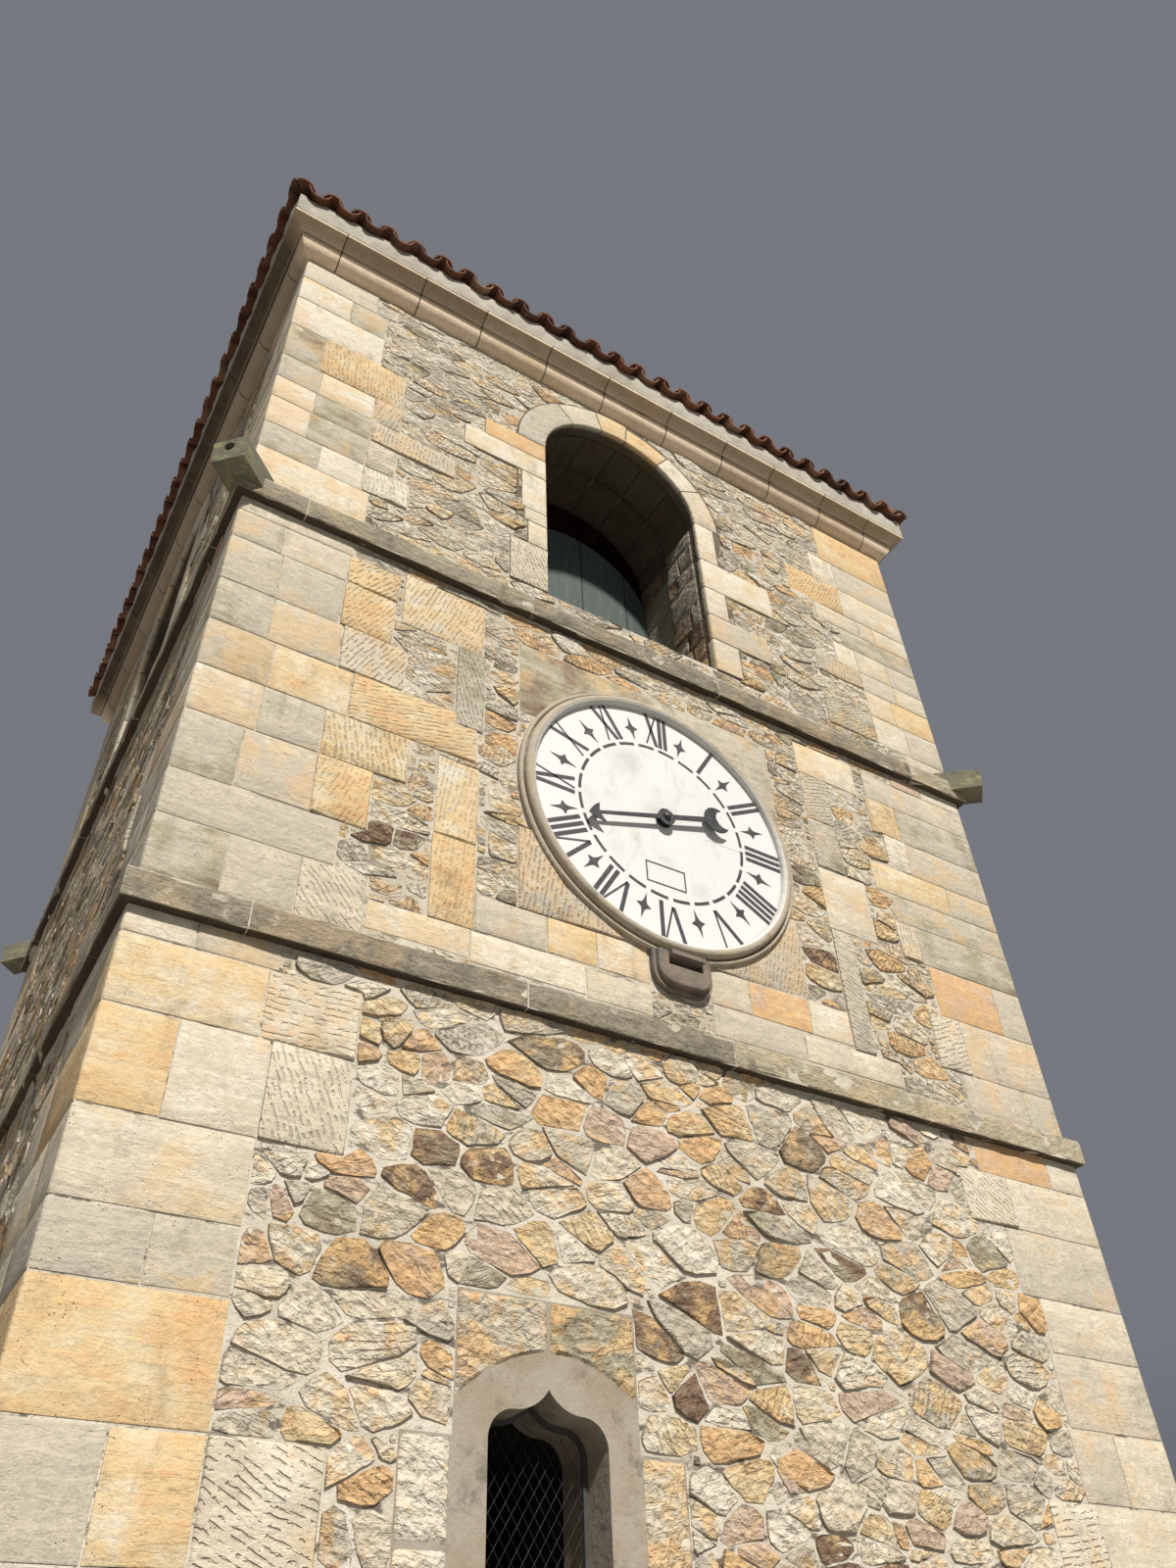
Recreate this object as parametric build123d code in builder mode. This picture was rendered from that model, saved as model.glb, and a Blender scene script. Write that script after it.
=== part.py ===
from build123d import *
import os
from math import cos, radians, sin, sqrt, tan

# A square clock tower of three stages in rubble and dressed stone: a tall base,
# a clock stage and an arcaded belfry under a low hipped roof of barrel tiles.
# Millimetres. The origin is the middle of the base at ground level, the clock
# face looks along -Y and +Z is up.

os.makedirs("parts", exist_ok=True)

# Plan of the walls
belfry_width = 6000.0
middle_step = 8.0
lower_step = 9.0
belfry_wall = 900.0
floor_ledge = 92.0
shaft_ledge = 91.0

# Heights of the stages and of the courses between them
lower_height = 4750.0
lower_string_height = 178.0
middle_height = 2921.0
upper_string_height = 194.0
belfry_height = 3065.0

# String courses
lower_string_reach = 60.0
upper_string_reach = 66.0
string_weathering = 22.0

# Cornice
roll_height = 145.0
roll_reach = 106.0
roll_groove_height = 8.0
roll_groove_depth = 12.0
crown_height = 117.0
crown_band_reach = 125.0
crown_band_height = 48.0
crown_reach = 220.0
crown_fillet = 30.0
crown_hollow = 9.0

# Roof
eave_reach = 290.0
eave_bed_reach = 222.0
eave_bed_width = 546.0
eave_bed_height = 200.0
roof_pitch = 18.0
roof_depth = 138.0
hip_radius = 80.0
apex_radius = 190.0
apex_rise = 120.0

# Belfry openings, the same on all four sides but for the front one's place
arch_radius = 745.0
arch_sill_rise = 177.0
arch_jamb_height = 1860.0
front_arch_shift = -100.0
surround_width = 260.0
surround_depth = 450.0
surround_proud = 12.0
vault_step = 45.0
screen_thickness = 50.0
screen_drop = 460.0
screen_side_gap = 3.0

# Dial, its moulded ring and its single hand
dial_x = -45.0
dial_rise = 1482.0
dial_radius = 935.0
dial_thickness = 30.0
ring_roll_radius = 33.0
ring_roll_stand = 42.0
ring_groove_width = 8.0
ring_groove_stand = 18.0
ring_bead_radius = 14.0
ring_bead_stand = 26.0
arbor_radius = 16.0
arbor_clearance = 0.3
arbor_inner_end = 40.0
bush_radius = 30.0
bush_length = 300.0
bush_flange_radius = 58.0
bush_flange_thickness = 12.0
hand_clearance = 8.0
hand_collar_radius = 42.0
hand_collar_length = 20.0
hand_thickness = 8.0
hand_cap_radius = 30.0
hand_cap_length = 22.0
hand_angle = 251.7
hand_boss_radius = 62.0
hand_neck_width = 22.0
hand_tail_width = 40.0
arrow_reach = 611.0
arrow_length = 103.0
arrow_width = 140.0
arrow_barb = 27.0
arrow_swell = 9.0
crescent_reach = 430.0
crescent_radius = 100.0
crescent_hollow_radius = 73.0
crescent_hollow_shift = 70.0

# Moulded drain stone below the dial
drain_shift = 30.0
drain_width = 410.0
drain_height = 233.0
drain_corner = 130.0
drain_plate = 38.0
drain_inset = 24.0
drain_rise = 34.0
drain_rounding = 20.0
drain_slot_width = 232.0
drain_slot_height = 50.0
drain_slot_depth = 62.0
drain_lip_drop = 6.0
drain_lip_height = 28.0
drain_lip_reach = 38.0

# Water spouts on the corners of the upper string course
spout_reach = 260.0
spout_rake = 20.0
spout_width = 220.0
spout_base_above_string = 56.0
spout_end_height = 176.0
spout_root_height = 240.0
spout_root_length = 260.0
spout_hollow = 14.0
spout_bore_radius = 35.0
spout_bore_depth = 180.0
spout_bore_drop = 62.0

# Small window low in the front wall
window_x = -912.0
window_width = 560.0
window_sill = 1950.0
window_head = 2912.0
window_keel = 87.0
window_shoulder = 118.0
window_jamb = 380.0
window_lintel_height = 440.0
window_lintel_width = 874.0
window_sill_height = 190.0
window_surround_depth = 380.0
window_rebate = 40.0
grille_setback = 170.0
grille_bar = 24.0
grille_thickness = 14.0

# Doorway in the back wall
door_width = 1000.0
door_height = 2080.0
floor_thickness = 150.0
door_jamb = 260.0
door_lintel_height = 340.0
door_surround_depth = 420.0
door_surround_proud = 12.0
door_rebate = 45.0
door_thickness = 60.0
door_side_gap = 3.0

# Half widths, thicknesses and levels that follow from the sizes above
belfry_half = belfry_width / 2
middle_half = belfry_half + middle_step
lower_half = middle_half + lower_step
belfry_inner = belfry_half - belfry_wall
middle_inner = belfry_inner - floor_ledge
lower_inner = middle_inner - shaft_ledge
lower_string_base = lower_height
middle_base = lower_string_base + lower_string_height
upper_string_base = middle_base + middle_height
belfry_base = upper_string_base + upper_string_height
arch_sill = belfry_base + arch_sill_rise
arch_spring = arch_sill + arch_jamb_height
dial_z = middle_base + dial_rise
roll_base = belfry_base + belfry_height
crown_base = roll_base + roll_height
bed_base = crown_base + crown_height
middle_wall = middle_half - middle_inner
lower_wall = lower_half - lower_inner
eave_half = belfry_half + eave_reach
bed_outer = belfry_half + eave_bed_reach
bed_inner = bed_outer - eave_bed_width
vault_radius = arch_radius + vault_step
ring_outer = dial_radius + 2 * ring_roll_radius + ring_groove_width + 2 * ring_bead_radius
hand_collar_base = dial_thickness + bush_flange_thickness + hand_clearance
hand_back = hand_collar_base + hand_collar_length
hand_front = hand_back + hand_thickness
door_head = floor_thickness + door_height
door_lintel_top = door_head + door_lintel_height

# Each side is the front turned about the tower's axis
sides = {"front": 0, "right": 90, "back": 180, "left": 270}
arch_centres = {"front": front_arch_shift, "right": 0, "back": 0, "left": 0}

# The dial's plane lies on the wall, and turned pieces are drawn beside its axis
dial_centre = (dial_x, -middle_half, dial_z)
dial_plane = Plane(origin=dial_centre, x_dir=(1, 0, 0), z_dir=(0, -1, 0))
turning_plane = Plane(origin=dial_centre, x_dir=(1, 0, 0), z_dir=(0, 0, -1))
dial_axis = Axis(dial_centre, (0, -1, 0))


def face_plane(side, distance):
    """Upright plane of one side: x to the right seen from outside, y up."""
    turn = radians(sides[side])
    outward = Vector(sin(turn), -cos(turn), 0)
    return Plane(origin=outward * distance, x_dir=(cos(turn), sin(turn), 0), z_dir=outward)


def section_plane(side="front"):
    """Upright plane through the tower's axis: x outwards from it, y up."""
    turn = radians(sides[side])
    outward = Vector(sin(turn), -cos(turn), 0)
    return Plane(origin=(0, 0, 0), x_dir=outward, z_dir=outward.cross(Vector(0, 0, 1)))


def plan_plane(side, height):
    """Level plane turned so that the given side lies along its -Y edge."""
    return Plane.XY.offset(height).rotated((0, 0, sides[side]))


def mitred_plan(outer, inner):
    """Plan of one wall between its mitres at the two corners."""
    Polygon((-outer, -outer), (outer, -outer), (inner, -inner), (-inner, -inner), align=None)


def arch_face(centre, half_width, foot, spring, mode=Mode.ADD):
    """Upright opening with straight jambs and a half round head."""
    with BuildLine() as outline:
        Polyline(
            (centre - half_width, spring),
            (centre - half_width, foot),
            (centre + half_width, foot),
            (centre + half_width, spring),
        )
        ThreePointArc(
            (centre + half_width, spring),
            (centre, spring + half_width),
            (centre - half_width, spring),
        )
    make_face(outline.edges(), mode=mode)


def square_path(half):
    """Closed square line round the tower, begun in the middle of the front."""
    Polyline((0, -half), (half, -half), (half, half), (-half, half), (-half, -half), close=True)


def window_face(widening=0.0, foot=window_sill, mode=Mode.ADD):
    """Window opening: straight jambs, rounded shoulders and a keel at the top."""
    half = window_width / 2 + widening
    head = window_head + widening
    shoulder = window_shoulder + widening
    with BuildLine() as outline:
        jamb = Line((window_x - half, foot), (window_x - half, head - shoulder))
        bend = RadiusArc(jamb @ 1, (window_x - half + shoulder, head), shoulder)
        keel = TangentArc(bend @ 1, (window_x, head + window_keel), tangent=(1, 0))
        mirror(jamb, about=Plane.YZ.offset(window_x))
        mirror(bend, about=Plane.YZ.offset(window_x))
        mirror(keel, about=Plane.YZ.offset(window_x))
        Line((window_x - half, foot), (window_x + half, foot))
    make_face(outline.edges(), mode=mode)


def window_block():
    """Outline of the dressed stones round the window: lintel, jambs and sill."""
    jamb = window_width / 2 + window_jamb
    lintel = window_lintel_width / 2
    seat = window_head - window_shoulder
    Polygon(
        (window_x - jamb, window_sill - window_sill_height),
        (window_x + jamb, window_sill - window_sill_height),
        (window_x + jamb, seat),
        (window_x + lintel, seat),
        (window_x + lintel, window_head + window_lintel_height),
        (window_x - lintel, window_head + window_lintel_height),
        (window_x - lintel, seat),
        (window_x - jamb, seat),
        align=None,
    )


def roof_underside(distance):
    """Height of the roof's underside at a distance from the tower's axis."""
    return bed_base + eave_bed_height + (eave_half - distance) * tan(radians(roof_pitch))


def drain_face(inset, mode=Mode.ADD):
    """Drain stone outline under the ring: flat sides and a rounded bottom."""
    half = drain_width / 2 - inset
    bottom = -ring_outer - drain_height + inset
    corner = drain_corner - inset
    with BuildLine() as outline:
        side_line = Line((drain_shift - half, -dial_radius), (drain_shift - half, bottom + corner))
        bend = RadiusArc(side_line @ 1, (drain_shift - half + corner, bottom), -corner)
        mirror(side_line, about=Plane.YZ.offset(drain_shift))
        mirror(bend, about=Plane.YZ.offset(drain_shift))
        Line(bend @ 1, (drain_shift + half - corner, bottom))
        Line(side_line @ 0, (drain_shift + half, -dial_radius))
    make_face(outline.edges(), mode=mode)


def save(builder, name):
    """Label one finished piece and write it out under the same name."""
    builder.part.label = name
    export_step(builder.part, f"parts/{name}.step")


# Base stage, a plain wall on the right and on the left
for side in ("right", "left"):
    with BuildPart() as wall:
        with BuildSketch(plan_plane(side, 0)):
            mitred_plan(lower_half, lower_inner)
        extrude(amount=lower_height)
    save(wall, f"lower_{side}_wall")

# Front wall of the base: a pocket for the window's stones, then the way through
with BuildPart() as lower_front_wall:
    with BuildSketch(plan_plane("front", 0)):
        mitred_plan(lower_half, lower_inner)
    extrude(amount=lower_height)
    with BuildSketch(face_plane("front", lower_half)):
        window_block()
    extrude(amount=-window_surround_depth, mode=Mode.SUBTRACT)
    with BuildSketch(face_plane("front", lower_half - window_surround_depth)):
        window_face(widening=window_rebate)
    extrude(amount=-lower_wall, mode=Mode.SUBTRACT)
save(lower_front_wall, "lower_front_wall")

# Dressed stones of the window, one block in the wall's pocket
with BuildPart() as window_surround:
    with BuildSketch(face_plane("front", lower_half)):
        window_block()
        window_face(mode=Mode.SUBTRACT)
    extrude(amount=-window_surround_depth)
save(window_surround, "window_surround")

# Flat bar frame of the window's grille, let into the reveal
with BuildPart() as window_grille:
    with BuildSketch(face_plane("front", lower_half - grille_setback)):
        window_face()
        window_face(widening=-grille_bar, foot=window_sill + grille_bar, mode=Mode.SUBTRACT)
    extrude(amount=-grille_thickness)
save(window_grille, "window_grille")

# Back wall of the base: a pocket for the doorway's stones, then the way through
with BuildPart() as lower_back_wall:
    with BuildSketch(plan_plane("back", 0)):
        mitred_plan(lower_half, lower_inner)
    extrude(amount=lower_height)
    with BuildSketch(face_plane("back", lower_half)):
        with Locations((0, 0)):
            Rectangle(door_width + 2 * door_jamb, door_lintel_top, align=(Align.CENTER, Align.MIN))
    extrude(amount=-door_surround_depth, mode=Mode.SUBTRACT)
    with BuildSketch(face_plane("back", lower_half - door_surround_depth)):
        Rectangle(
            door_width + 2 * door_rebate, door_head + door_rebate, align=(Align.CENTER, Align.MIN)
        )
    extrude(amount=-lower_wall, mode=Mode.SUBTRACT)
save(lower_back_wall, "lower_back_wall")

# Jambs, lintel and threshold of the doorway, with the threshold run through the wall
with BuildPart() as door_surround:
    with BuildSketch(face_plane("back", lower_half + door_surround_proud)):
        Rectangle(door_width + 2 * door_jamb, door_lintel_top, align=(Align.CENTER, Align.MIN))
    extrude(amount=-door_surround_depth - door_surround_proud)
    with BuildSketch(face_plane("back", lower_half + door_surround_proud)):
        with Locations((0, floor_thickness)):
            Rectangle(door_width, door_height, align=(Align.CENTER, Align.MIN))
    extrude(amount=-door_surround_depth - door_surround_proud, mode=Mode.SUBTRACT)
    with BuildSketch(face_plane("back", lower_half - door_surround_depth)):
        Rectangle(door_width + 2 * door_rebate, floor_thickness, align=(Align.CENTER, Align.MIN))
    extrude(amount=door_surround_depth - lower_wall)
save(door_surround, "door_surround")

# Plank leaf, shut against the back of the jambs and lintel
with BuildPart() as door_leaf:
    with BuildSketch(face_plane("back", lower_half - door_surround_depth)):
        with Locations((0, floor_thickness)):
            Rectangle(
                door_width + 2 * (door_rebate - door_side_gap),
                door_height + door_rebate - door_side_gap,
                align=(Align.CENTER, Align.MIN),
            )
    extrude(amount=-door_thickness)
save(door_leaf, "door_leaf")

# Ground floor slab between the walls
with BuildPart() as ground_floor:
    with BuildSketch():
        Rectangle(2 * lower_inner, 2 * lower_inner)
    extrude(amount=floor_thickness)
save(ground_floor, "ground_floor")


def string_section(wall_half, inner_half, base, height, reach):
    """Section of a string course: a flat band with a weathered top edge."""
    top = base + height
    Polygon(
        (inner_half, base),
        (wall_half + reach, base),
        (wall_half + reach, top - string_weathering),
        (wall_half, top),
        (inner_half, top),
        align=None,
    )


# Lower string course, through the wall's thickness
with BuildPart() as lower_string_course:
    with BuildLine(Plane.XY.offset(lower_string_base)) as lower_string_path:
        square_path(middle_half)
    with BuildSketch(section_plane()):
        string_section(
            middle_half, middle_inner, lower_string_base, lower_string_height, lower_string_reach
        )
    sweep(path=lower_string_path.wires()[0], transition=Transition.RIGHT)
save(lower_string_course, "lower_string_course")

# Clock stage, plain on three sides
for side in ("right", "back", "left"):
    with BuildPart() as wall:
        with BuildSketch(plan_plane(side, middle_base)):
            mitred_plan(middle_half, middle_inner)
        extrude(amount=middle_height)
    save(wall, f"middle_{side}_wall")

# Front of the clock stage, bored for the tube that carries the hand's arbor
with BuildPart() as middle_front_wall:
    with BuildSketch(plan_plane("front", middle_base)):
        mitred_plan(middle_half, middle_inner)
    extrude(amount=middle_height)
    with BuildSketch(dial_plane):
        Circle(bush_radius)
    extrude(amount=-middle_wall, mode=Mode.SUBTRACT)
save(middle_front_wall, "middle_front_wall")

# Upper string course, which closes the edge of the belfry's floor
with BuildPart() as upper_string_course:
    with BuildLine(Plane.XY.offset(upper_string_base)) as upper_string_path:
        square_path(belfry_half)
    with BuildSketch(section_plane()):
        string_section(
            belfry_half, belfry_inner, upper_string_base, upper_string_height, upper_string_reach
        )
    sweep(path=upper_string_path.wires()[0], transition=Transition.RIGHT)
save(upper_string_course, "upper_string_course")

# Belfry floor, its edge on the ledge where the wall below is thicker
with BuildPart() as belfry_floor:
    with BuildSketch(Plane.XY.offset(upper_string_base)):
        Rectangle(2 * belfry_inner, 2 * belfry_inner)
    extrude(amount=upper_string_height)
save(belfry_floor, "belfry_floor")

# Belfry: each side has its wall, its arch of dressed stone and its board screen
for side in sides:
    centre = arch_centres[side]
    with BuildPart() as wall:
        with BuildSketch(plan_plane(side, belfry_base)):
            mitred_plan(belfry_half, belfry_inner)
        extrude(amount=belfry_height)
        with BuildSketch(face_plane(side, belfry_half)):
            arch_face(centre, arch_radius + surround_width, arch_sill, arch_spring)
        extrude(amount=-surround_depth, mode=Mode.SUBTRACT)
        with BuildSketch(face_plane(side, belfry_half - surround_depth)):
            arch_face(centre, vault_radius, arch_sill, arch_spring)
        extrude(amount=-belfry_wall, mode=Mode.SUBTRACT)
    save(wall, f"belfry_{side}_wall")

    with BuildPart() as surround:
        with BuildSketch(face_plane(side, belfry_half + surround_proud)):
            arch_face(centre, arch_radius + surround_width, arch_sill, arch_spring)
            arch_face(centre, arch_radius, arch_sill, arch_spring, mode=Mode.SUBTRACT)
        extrude(amount=-surround_depth - surround_proud)
    save(surround, f"belfry_{side}_arch")

    with BuildPart() as screen:
        with BuildSketch(face_plane(side, belfry_inner)):
            arch_face(
                centre, vault_radius - screen_side_gap, arch_sill, arch_spring - screen_drop
            )
        extrude(amount=screen_thickness)
    save(screen, f"belfry_{side}_screen")

# Lower course of the cornice, a large quarter roll with a groove along its top
with BuildPart() as cornice_roll:
    with BuildLine(Plane.XY.offset(roll_base)) as roll_path:
        square_path(belfry_half)
    with BuildSketch(section_plane()):
        with BuildLine():
            foot = Line((belfry_inner, roll_base), (belfry_half, roll_base))
            swell = EllipticalCenterArc(
                (belfry_half, crown_base - roll_groove_height),
                roll_reach,
                roll_height - roll_groove_height,
                start_angle=270,
                arc_size=90,
            )
            Polyline(
                swell @ 1,
                (belfry_half + roll_reach - roll_groove_depth, crown_base - roll_groove_height),
                (belfry_half + roll_reach - roll_groove_depth, crown_base),
                (belfry_inner, crown_base),
                foot @ 0,
            )
        make_face()
    sweep(path=roll_path.wires()[0], transition=Transition.RIGHT)
save(cornice_roll, "cornice_roll")

# Upper course of the cornice: a flat band, a hollow soffit and a square fillet
with BuildPart() as cornice_crown:
    with BuildLine(Plane.XY.offset(crown_base)) as crown_path:
        square_path(belfry_half)
    with BuildSketch(section_plane()):
        with BuildLine():
            foot = Line((belfry_inner, crown_base), (belfry_half + crown_band_reach, crown_base))
            band = Line(foot @ 1, (belfry_half + crown_band_reach, crown_base + crown_band_height))
            hollow = SagittaArc(
                band @ 1, (belfry_half + crown_reach, bed_base - crown_fillet), crown_hollow
            )
            Polyline(
                hollow @ 1,
                (belfry_half + crown_reach, bed_base),
                (belfry_inner, bed_base),
                foot @ 0,
            )
        make_face()
    sweep(path=crown_path.wires()[0], transition=Transition.RIGHT)
save(cornice_crown, "cornice_crown")

# Mortar bed that carries the eave tiles, its top along the slope of the roof
with BuildPart() as eave_bed:
    with BuildLine(Plane.XY.offset(bed_base)) as bed_path:
        square_path(belfry_half)
    with BuildSketch(section_plane()):
        Polygon(
            (bed_inner, bed_base),
            (bed_outer, bed_base),
            (bed_outer, roof_underside(bed_outer)),
            (bed_inner, roof_underside(bed_inner)),
            align=None,
        )
    sweep(path=bed_path.wires()[0], transition=Transition.RIGHT)
save(eave_bed, "eave_bed")

# Four slopes of the hipped roof, each a tile covering cut along its two hips
eave_top = roof_underside(eave_half) + roof_depth
roof_top = roof_underside(0) + roof_depth
roof_slopes = []
for side in sides:
    with BuildPart() as slope:
        with BuildSketch(section_plane(side)):
            Polygon(
                (0, roof_underside(0)),
                (eave_half, roof_underside(eave_half)),
                (eave_half, eave_top),
                (0, roof_top),
                align=None,
            )
        extrude(amount=eave_half, both=True)
        with BuildSketch(plan_plane(side, bed_base)):
            Polygon((-eave_half, -eave_half), (eave_half, -eave_half), (0, 0), align=None)
        extrude(amount=roof_top, mode=Mode.INTERSECT)
    save(slope, f"roof_{side}_slope")
    roof_slopes.append(slope.part)

# Hip tiles along the four corners, gathered under a rounded cap at the top
with BuildPart() as roof_hips:
    for corner in (45, 135, 225, 315):
        outward = Vector(cos(radians(corner)), sin(radians(corner)), 0)
        hip_foot = outward * (eave_half * sqrt(2)) + Vector(0, 0, eave_top)
        hip_line = Vector(0, 0, roof_top) - hip_foot
        with BuildSketch(Plane(origin=hip_foot, z_dir=hip_line)):
            Circle(hip_radius)
        extrude(amount=hip_line.length)
    with BuildSketch(section_plane()):
        with BuildLine():
            flat = Polyline(
                (0, roof_top + apex_rise),
                (0, roof_top - apex_radius * tan(radians(roof_pitch))),
                (apex_radius, roof_top - apex_radius * tan(radians(roof_pitch))),
            )
            TangentArc(flat @ 0, flat @ 1, tangent=(1, 0))
        make_face()
    revolve(axis=Axis.Z)
    with BuildSketch(Plane.XY.offset(bed_base)):
        Rectangle(2 * eave_half, 2 * eave_half)
    extrude(amount=roof_top, mode=Mode.INTERSECT)
    for slope_part in roof_slopes:
        add(slope_part, mode=Mode.SUBTRACT)
save(roof_hips, "roof_hips")

# Water spouts, square blocks bedded on the corners of the upper string course
spout_root = belfry_half * sqrt(2) - spout_root_length
spout_end = belfry_half * sqrt(2) + spout_reach
spout_base = upper_string_base + spout_base_above_string
with BuildPart() as gargoyles:
    for corner in (45, 135, 225, 315):
        turn = radians(corner)
        outward = Vector(cos(turn), sin(turn), 0)
        upright = Plane(origin=(0, 0, 0), x_dir=outward, z_dir=outward.cross(Vector(0, 0, 1)))
        with BuildSketch(upright):
            with BuildLine():
                block = Polyline(
                    (spout_end - spout_rake, spout_base),
                    (spout_end, spout_base + spout_end_height),
                    (spout_root, spout_base + spout_root_height),
                    (spout_root, spout_base),
                )
                SagittaArc(block @ 1, block @ 0, spout_hollow)
            make_face()
        extrude(amount=spout_width / 2, both=True)
        bore_height = spout_base + spout_end_height - spout_bore_drop
        with BuildSketch(Plane(origin=outward * spout_end + Vector(0, 0, bore_height), z_dir=outward)):
            Circle(spout_bore_radius)
        extrude(amount=-spout_bore_depth, mode=Mode.SUBTRACT)
    add(upper_string_course.part, mode=Mode.SUBTRACT)
    with BuildSketch(Plane.XY.offset(upper_string_base)):
        Rectangle(belfry_width, belfry_width)
    extrude(amount=2 * spout_root_height, mode=Mode.SUBTRACT)
save(gargoyles, "gargoyles")

# Moulded stone ring round the dial: a large roll, a groove and a bead
with BuildPart() as dial_ring:
    with BuildSketch(turning_plane):
        with BuildLine():
            roll_outer = dial_radius + 2 * ring_roll_radius
            bead_inner = roll_outer + ring_groove_width
            inner = Line((dial_radius, 0), (dial_radius, ring_roll_stand))
            roll = ThreePointArc(
                inner @ 1,
                (dial_radius + ring_roll_radius, ring_roll_stand + ring_roll_radius),
                (roll_outer, ring_roll_stand),
            )
            groove = Polyline(
                roll @ 1,
                (roll_outer, ring_groove_stand),
                (bead_inner, ring_groove_stand),
                (bead_inner, ring_bead_stand),
            )
            bead = ThreePointArc(
                groove @ 1,
                (bead_inner + ring_bead_radius, ring_bead_stand + ring_bead_radius),
                (ring_outer, ring_bead_stand),
            )
            Polyline(bead @ 1, (ring_outer, 0), inner @ 0)
        make_face()
    revolve(axis=dial_axis)
save(dial_ring, "dial_ring")

# Dial plate inside the ring
with BuildPart() as dial_plate:
    with BuildSketch(dial_plane):
        Circle(dial_radius)
        Circle(bush_radius, mode=Mode.SUBTRACT)
    extrude(amount=dial_thickness)
save(dial_plate, "dial_plate")

# Tube with a flange, fixed in the wall, that the arbor turns in
with BuildPart() as arbor_bush:
    with BuildSketch(turning_plane):
        Polygon(
            (arbor_radius + arbor_clearance, -bush_length),
            (bush_radius, -bush_length),
            (bush_radius, dial_thickness),
            (bush_flange_radius, dial_thickness),
            (bush_flange_radius, dial_thickness + bush_flange_thickness),
            (arbor_radius + arbor_clearance, dial_thickness + bush_flange_thickness),
            align=None,
        )
    revolve(axis=dial_axis)
save(arbor_bush, "arbor_bush")

# Arbor from inside the tower to the hand, with the collar that the hand seats on
with BuildPart() as hand_arbor:
    with BuildSketch(turning_plane):
        Polygon(
            (0, -middle_wall - arbor_inner_end),
            (arbor_radius, -middle_wall - arbor_inner_end),
            (arbor_radius, hand_collar_base),
            (hand_collar_radius, hand_collar_base),
            (hand_collar_radius, hand_back),
            (arbor_radius, hand_back),
            (arbor_radius, hand_front),
            (0, hand_front),
            align=None,
        )
    revolve(axis=dial_axis)
save(hand_arbor, "hand_arbor")

# Single hand: an arrow on a tapered bar and a crescent on its tail
hand_turn = radians(hand_angle)
hand_plane = Plane(
    origin=(dial_x, -middle_half - hand_back, dial_z),
    x_dir=(cos(hand_turn), 0, -sin(hand_turn)),
    z_dir=(0, -1, 0),
)
with BuildPart() as clock_hand:
    with BuildSketch(hand_plane):
        arrow_root = arrow_reach - arrow_length
        Polygon(
            (-hand_tail_width / 2, -crescent_reach + crescent_hollow_shift),
            (hand_tail_width / 2, -crescent_reach + crescent_hollow_shift),
            (hand_neck_width / 2, arrow_root + arrow_barb),
            (-hand_neck_width / 2, arrow_root + arrow_barb),
            align=None,
        )
        Circle(hand_boss_radius)
        with BuildLine():
            edge = SagittaArc((0, arrow_reach), (arrow_width / 2, arrow_root), arrow_swell)
            mirror(edge, about=Plane.YZ)
            Polyline(edge @ 1, (0, arrow_root + arrow_barb), (-arrow_width / 2, arrow_root))
        make_face()
        with Locations((0, -crescent_reach)):
            Circle(crescent_radius)
        with Locations((0, -crescent_reach - crescent_hollow_shift)):
            Circle(crescent_hollow_radius, mode=Mode.SUBTRACT)
        Circle(arbor_radius, mode=Mode.SUBTRACT)
    extrude(amount=hand_thickness)
save(clock_hand, "clock_hand")

# Rounded cap over the arbor's end
with BuildPart() as hand_cap:
    with BuildSketch(turning_plane):
        with BuildLine():
            face = Line((0, hand_front), (hand_cap_radius, hand_front))
            crest = TangentArc((0, hand_front + hand_cap_length), face @ 1, tangent=(1, 0))
            Line(face @ 0, crest @ 0)
        make_face()
    revolve(axis=dial_axis)
save(hand_cap, "hand_cap")

# Drain stone close under the ring: a plate, a rounded block, and a slot below a lip
with BuildPart() as drain_stone:
    with BuildSketch(dial_plane):
        drain_face(0)
    extrude(amount=drain_plate)
    with BuildSketch(dial_plane.offset(drain_plate)):
        drain_face(drain_inset)
    extrude(amount=drain_rise)
    fillet(faces().sort_by(Axis.Y)[0].edges(), radius=drain_rounding)
    with BuildSketch(dial_plane):
        Circle(ring_outer)
    extrude(amount=drain_plate + drain_rise, mode=Mode.SUBTRACT)
    slot_top = -ring_outer - drain_lip_drop - drain_lip_height
    with BuildSketch(dial_plane.offset(drain_plate + drain_rise)):
        with Locations((drain_shift, slot_top)):
            Rectangle(drain_slot_width, drain_slot_height, align=(Align.CENTER, Align.MAX))
    extrude(amount=-drain_slot_depth, mode=Mode.SUBTRACT)
    with BuildSketch(dial_plane.offset(drain_plate)):
        with Locations((drain_shift, slot_top)):
            Rectangle(drain_slot_width, drain_lip_height, align=(Align.CENTER, Align.MIN))
    extrude(amount=drain_rise + drain_lip_reach)
save(drain_stone, "drain_stone")
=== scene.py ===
"""Dresses the stone clock tower: its masonry, dial, roof tiles, finishes, light and camera."""

import logging
import math
from collections.abc import Sequence
from dataclasses import dataclass, field
from enum import Enum

import bpy
import numpy as np
from mathutils import Matrix, Vector


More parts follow.
